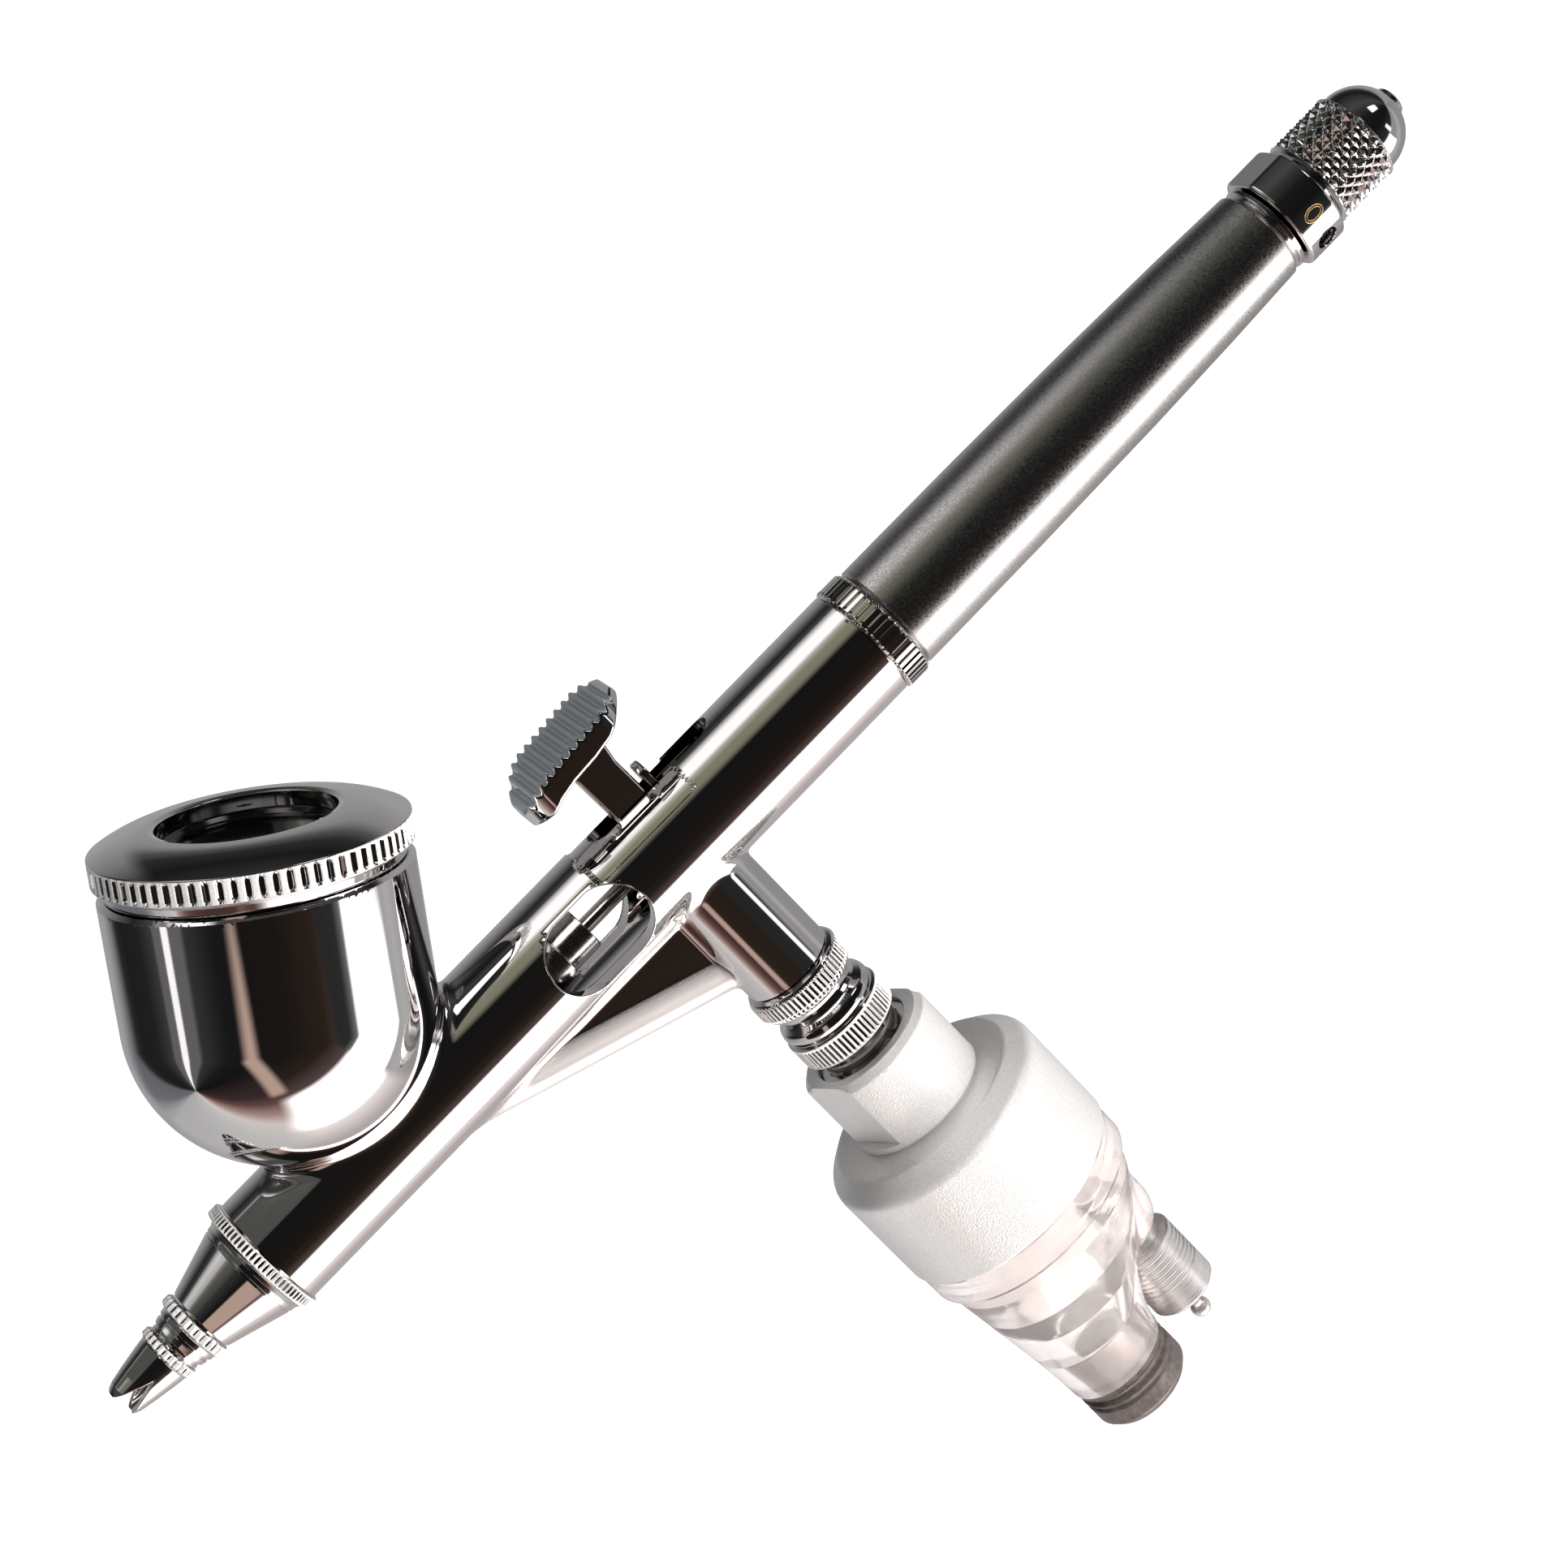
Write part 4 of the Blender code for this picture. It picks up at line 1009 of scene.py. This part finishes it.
def build_filter_head():
    rim, top = span("filter_head", Z)
    shoulder = top - 8.1
    outline = rounded([
        (4.75, top, 0.15), (5.9, top, 0.2), (6.5, top - 0.6, 0.3), (6.5, shoulder + 0.9, 0),
        (6.5, shoulder + 0.89, 0), (6.5, shoulder + 0.35, 0.05), (6.2, shoulder + 0.3, 0.05),
        (6.2, shoulder, 0.1), (9.2, shoulder, 0.8), (FILTER_R, shoulder - 1.5, 1.3),
        (FILTER_R, rim + 0.15, 0.1), (FILTER_R - 0.25, rim, 0.05), (9.95, rim, 0),
        (9.95, -36.2, 0.2),
        (2.0, -35.2, 0.2), (2.0, -29.5, 0.1), (4.75, -29.5, 0.1)], 0.1, 5)

    def flats(radius, height, turn):
        off = np.abs(np.cos(turn - NECK_FLAT_TURN))
        limit = NECK_FLAT / np.maximum(off, 1e-3)
        on_neck = (height > shoulder + 0.895) & (radius > 5.0)
        return np.where(on_neck, np.minimum(radius, limit), radius)

    lathe("filter_head_blasted", "filter_head", BLASTED, outline, UP, 288, flats)


BOWL_LEVELS = np.array([-48.0, -50.0, -53.5, -57.0, -60.5, -63.5, -64.8])
BOWL_SHIFTS = np.array([0.0, -0.1, -0.95, -2.1, -3.0, -3.55, -3.6])
BOWL_RADII = np.array([10.25, 9.9, 8.65, 7.1, 5.8, 5.05, 4.95])


def eased(z, values):
    """Smooth curve through the bowl's levels: the mean of five nearby readings."""
    return sum(np.interp(z + d, BOWL_LEVELS[::-1], values[::-1]) * 0.2
               for d in (-1.2, -0.6, 0, 0.6, 1.2))


def bowl_field(p):
    x, y, z = p.T
    shift, radius = eased(z, BOWL_SHIFTS), eased(z, BOWL_RADII)
    radial, leaning = np.hypot(x, y), np.hypot(x - shift, y)
    band_low, band_high = -48.0, -45.25
    skirt = both((leaning - radius) * 0.9, within(z, -64.8, band_low + 0.1))
    band = both(radial - 10.75, within(z, band_low, band_high))
    collar = both(radial - 9.35, within(z, band_high - 0.2, -40.0))
    housing = capsule(p, (DRAIN_X, 0, -49.5), (DRAIN_X, 0, -54.9), 3.7)
    solid = either(band, collar, smooth_union(skirt, housing, 1.0))
    inner = leaning - np.interp(z, [-61, -57, -53.5, -50, -48, -39],
                                [2.6, 3.9, 7.3, 8.7, 8.2, 8.2])
    inner = both(inner, within(z, -61.0, -39.0))
    at_drain = np.hypot(x - DRAIN_X, y)
    bore = both(at_drain - 2.3, within(z, -61.0, -50.5))
    scoop = both(at_drain - 3.65, z + 58.3)
    outlet = both(np.hypot(x - OUTLET_X, y) - 3.5, z + 60.6)
    return both(solid, -either(inner, bore, scoop, outlet))


def build_bowl():
    sculpt("filter_bowl_clear", "filter_bowl", CLEAR, bowl_field,
           (-11.2, -11.2, -65.4), (11.2, 11.2, -39.4), 0.26)


def build_drain():
    place = Matrix.Translation((DRAIN_X * MM, 0, 0))
    low, high = span("drain_body", Z)
    outline = [(0.75, high), (2.2, high), (2.2, -58.6), (3.3, -58.65, 0.15)]
    level = -59.2
    while level > low + 2.6:
        outline += [(3.3, level, 0.03), (3.12, level - 0.07, 0.03), (3.12, level - 0.2, 0.03),
                    (3.3, level - 0.27, 0.03)]
        level -= 0.55
    outline += [(3.3, low + 0.35, 0.15), (2.95, low, 0.1), (1.35, low, 0.05), (1.35, -57.0),
                (0.75, -57.0)]
    lathe("drain_body_turned", "drain_body", SOFT_STEEL_Z, rounded(outline, 0.06), place,
          128)
    tip, top = span("drain_pin", Z)
    ball = [(0.95 * math.sin(math.radians(a)), tip + 0.95 - 0.95 * math.cos(math.radians(a)), 0)
            for a in range(150, 0, -15)]
    outline = [
        (0, top), (1.6, top), (1.6, top - 0.4), (0.5, top - 0.5), (0.5, -62.6), (1.15, -62.65),
        (1.15, -63.2), (0.5, -63.3), (0.47, tip + 1.77, 0.1), *ball, (0, tip)]
    lathe("drain_pin_ball", "drain_pin", SOFT_STEEL_Z, rounded(outline, 0.05), place, 48)


def build_inlet():
    """Tapped-look inlet: a helical thread that fades in and out, then a chamfered end."""
    centre = Matrix.Translation((OUTLET_X * MM, 0, 0))
    top, low, crest, pitch = -64.9, THREAD_END, 4.86, 0.907
    outline = rounded([
        (3.42, -60.8), (3.42, top, 0), (crest - 0.08, top, 0.05), (crest - 0.05, top - 0.5, 0.02),
        (crest, top - 0.55, 0), (crest, low + 0.75, 0.3), (crest - 0.6, low, 0.25),
        (2.4, low, 0.2), (2.4, -60.8, 0)], 0.05)
    outline = filled(outline, low + 0.1, top - 0.5, 0.06)

    def thread(radius, height, turn):
        phase = (height / pitch + turn / (2 * np.pi)) % 1
        groove = 0.5 + 0.5 * np.cos(2 * np.pi * phase)
        depth = 0.40 * fade(height, low + 2.3, top - 0.3, 0.6)
        return np.where(radius > 4.2, radius - depth * groove, radius)

    lathe("inlet_threaded", "inlet_fitting", THREAD, outline, centre, 160, thread)


# ---- CAD nodes that keep their own mesh -------------------------------------------------
KEPT = {
    "head_seal": WHITE_SEAL, "needle_packing": WHITE_SEAL, "valve_packing": WHITE_SEAL,
    "needle_chuck_guide": STEEL_X, "needle_chuck_nut": BRASS_X, "spring_case": STEEL_X,
    "dial_grub_screw": STEEL_X, "preset_rod": BRASS_X, "valve_plunger": BRASS_Z,
    "valve_guide_screw": BRASS_Z, "union_o_ring": BLACK_SEAL, "swivel_retainer": STEEL_Z,
    "bowl_seal": BLACK_SEAL, "drain_seal": BLACK_SEAL, "filter_element": ELEMENT,
}


def dress_kept_nodes():
    for node, finish in KEPT.items():
        mesh = frame["nodes"][node].data
        mesh.materials.clear()
        mesh.materials.append(finish)


def flexing_spring(node, axis):
    """A still copy of a CAD spring in the spring finish, shown in place of the hidden CAD node."""
    mesh = frame["nodes"][node].data.copy()
    mesh.materials.clear()
    mesh.materials.append(SPRING)
    coil = bpy.data.objects.new(node + "_coil", mesh)
    bpy.context.scene.collection.objects.link(coil)
    box = np.array([tuple(corner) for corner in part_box(node)])
    ends = np.repeat(box.mean(axis=0)[None, :], 2, axis=0)
    ends[:, axis] = box[:, axis]
    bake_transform(coil)
    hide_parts(node)


def build_springs():
    flexing_spring("needle_spring", X)
    flexing_spring("valve_spring", Z)
    flexing_spring("drain_spring", Z)


# ---- studio -----------------------------------------------------------------------------
def step_between(tree, value, start, end):
    """Eased 0 to 1 as value runs from start to end."""
    inputs = {"Value": value, "From Min": start, "From Max": end}
    return add_node(tree, "MapRange", inputs, interpolation_type="SMOOTHSTEP").outputs["Result"]


def window(tree, value, low, high, soft):
    """1 between low and high, easing to 0 over soft degrees either side."""
    rise = step_between(tree, value, low - soft, low)
    fall = step_between(tree, value, high, high + soft)
    return math_node(tree, "MULTIPLY", rise, math_node(tree, "SUBTRACT", 1.0, fall))


def ramp(tree, share, stops):
    """Colours round the barrel; the first stop's angle is where the ramp starts."""
    node = add_node(tree, "ValToRGB", {"Fac": share})
    elements = node.color_ramp.elements
    for i, (angle, *colour) in enumerate(stops):
        place = ((angle - SEAM) % 360) / 360
        stop = elements[i] if i < 2 else elements.new(place)
        stop.position = place
        stop.color = (*(colour * 3 if len(colour) == 1 else colour), 1)
    return node.outputs["Color"]


SEAM = -160     # degrees round the barrel where the studio's ramps start and end
# Studio seen in mirrors. Angles turn round the barrel axis: 0 front, 90 up, 180 back, -90 down.
# Brightness is one number, or red, green and blue.
MIDDLE = [
    (-160, 0.38), (-146, 0.48, 0.45, 0.44), (-112, 0.52, 0.48, 0.47), (-100, 0.72, 0.66, 0.64),
    (-88, 1.0, 0.93, 0.91), (-78, 3.2, 3.05, 3.0), (-47, 3.4, 3.25, 3.2), (-41, 0.10, 0.075, 0.07),
    (-26, 0.028, 0.018, 0.013), (-10, 0.012, 0.010, 0.009), (40, 0.009), (50, 0.23, 0.23, 0.17),
    (63, 0.26, 0.26, 0.19), (72, 0.5, 0.5, 0.42), (79, 1.3), (96, 1.25), (104, 0.6), (111, 0.06),
    (124, 0.02), (133, 0.08), (150, 0.24), (174, 0.38)]
LEFT = [
    (-160, 0.5), (-98, 0.62), (-73, 0.75, 0.7, 0.67), (-60, 0.45, 0.32, 0.29),
    (-45, 0.15, 0.08, 0.07), (-34, 0.05, 0.03, 0.03), (0, 0.008), (16, 0.012), (30, 0.03),
    (50, 0.05), (66, 0.06), (86, 0.06), (99, 0.06), (121, 0.035), (138, 0.018), (160, 0.015),
    (167, 0.025), (174, 0.14, 0.15, 0.17), (190, 0.17, 0.18, 0.20), (199, 0.45)]
RIGHT = [
    (-160, 0.30), (-110, 0.34), (-90, 0.5), (-62, 0.32), (-48, 0.36), (-38, 0.03), (0, 0.008),
    (36, 0.012), (60, 0.04), (75, 0.07), (95, 0.05), (130, 0.012), (146, 0.03), (155, 0.10),
    (164, 0.28), (180, 0.38), (192, 0.36)]
# Soft boxes: low and high angle round the barrel, low and high angle toward +X, edge, colour.
CARDS = [
    (-34, 4, -41, -37, 6.0, (0.55, 0.40, 0.33)), (46, 100, -90, -62, 8.0, (0.14, 0.14, 0.14)),
    (68, 79, -90, -62, 5.0, (1.2, 1.2, 1.2)), (44, 104, -26, -5, 4.0, (0.085, 0.09, 0.085)),
    (-44, -22, 43, 48, 3.0, (1.4, 1.4, 1.38)), (36, 52, 47, 60, 5.0, (2.4, 2.4, 2.4)),
    (-78, -46, 8, 36, 4.0, (3.2, 3.1, 3.05))]


def make_world():
    world = bpy.data.worlds.new("studio")
    bpy.context.scene.world = world
    world.use_nodes = True
    tree = world.node_tree
    tree.nodes.clear()
    direction = add_node(tree, "TexCoord").outputs["Generated"]
    x, y, z = add_node(tree, "SeparateXYZ", {0: direction}).outputs
    degrees = 180 / math.pi
    turn = math_node(tree, "ARCTAN2", z, math_node(tree, "MULTIPLY", y, -1.0))
    turn = math_node(tree, "MULTIPLY", turn, degrees)
    side = math_node(tree, "MULTIPLY", math_node(tree, "ARCSINE", x), degrees)
    share = math_node(tree, "DIVIDE", math_node(tree, "ADD", turn, 360.0 - SEAM), 360.0)
    share = math_node(tree, "FRACT", share)
    left, middle, right = (ramp(tree, share, stops) for stops in (LEFT, MIDDLE, RIGHT))
    colour = mixed(tree, step_between(tree, side, -24, -44), middle, left)
    colour = mixed(tree, step_between(tree, side, 8, 14), colour, right)
    for low, high, start, end, soft, light in CARDS:
        inside = math_node(tree, "MULTIPLY", window(tree, turn, low, high, soft),
                           window(tree, side, start, end, soft))
        colour = mixed(tree, inside, colour, light)
    lit = add_node(tree, "Background", {"Color": colour})
    seen = add_node(tree, "Background", {"Color": (1.0, 1.0, 1.0, 1.0)})
    path = add_node(tree, "LightPath").outputs
    direct = math_node(tree, "MAXIMUM", path["Is Camera Ray"], path["Is Transmission Ray"])
    mix = add_node(tree, "MixShader", {0: direct, 1: lit.outputs[0], 2: seen.outputs[0]})
    add_node(tree, "OutputWorld", {"Surface": mix.outputs[0]})


def make_floor():
    height, half = (THREAD_END - 120) * MM, 4.0
    corners = [(x * half, y * half, height) for x, y in ((-1, -1), (1, -1), (1, 1), (-1, 1))]
    mesh = bpy.data.meshes.new("floor")
    mesh.from_pydata(corners, [], [(0, 1, 2, 3)])
    floor = bpy.data.objects.new("floor", mesh)
    bpy.context.scene.collection.objects.link(floor)
    paper = Finish("floor_paper", (0.93, 0.93, 0.93), 0.9, 0.0)
    paper.set("Emission Color", (1, 1, 1, 1))
    paper.set("Emission Strength", 0.95)
    mesh.materials.append(paper.material)
    floor.visible_glossy = False


def make_lamp(name, place, size, energy, colour):
    """A soft lamp aimed at the gun; mirrors see it only as part of the world."""
    data = bpy.data.lights.new(name, "AREA")
    data.shape = "RECTANGLE"
    data.size, data.size_y = size
    data.energy = energy
    data.color = colour
    lamp = bpy.data.objects.new(name, data)
    lamp.location = place
    lamp.rotation_euler = (-lamp.location).to_track_quat("-Z", "Y").to_euler()
    lamp.visible_glossy = False
    bpy.context.scene.collection.objects.link(lamp)


def make_lights():
    make_lamp("soft_top", (-0.1, -0.25, 0.75), (0.9, 0.5), 2.0, (1.0, 1.0, 1.0))
    make_lamp("soft_front", (0.34, -0.6, -0.16), (0.7, 0.5), 17.0, (1.0, 0.965, 0.945))


def make_camera():
    """View from above the barrel's -Y side, rolled so that the tail rises to the right."""
    right = Vector((0.6946, -0.3242, -0.6421)).normalized()
    forward = Vector((0.0895, 0.9247, -0.3701)).normalized()
    right = (right - forward * right.dot(forward)).normalized()
    up = right.cross(forward)
    data = bpy.data.cameras.new("camera")
    data.sensor_width = 36.0
    data.lens = 86.53
    data.clip_start = 0.01
    camera = bpy.data.objects.new("camera", data)
    turn = Matrix((right, up, -forward)).transposed()
    camera.matrix_world = Matrix.Translation(Vector((-17.8, -291.3, 112.7)) * MM) @ turn.to_4x4()
    bpy.context.scene.collection.objects.link(camera)
    bpy.context.scene.camera = camera


for build in (build_body, build_lid, build_spray_head, build_tail, build_trigger, build_lever,
              build_needle_parts, build_valve_rings, build_filter_head, build_bowl, build_drain,
              build_inlet, dress_kept_nodes, build_springs, make_world, make_floor, make_lights,
              make_camera):
    build()
bpy.context.scene.view_settings.view_transform = "Standard"
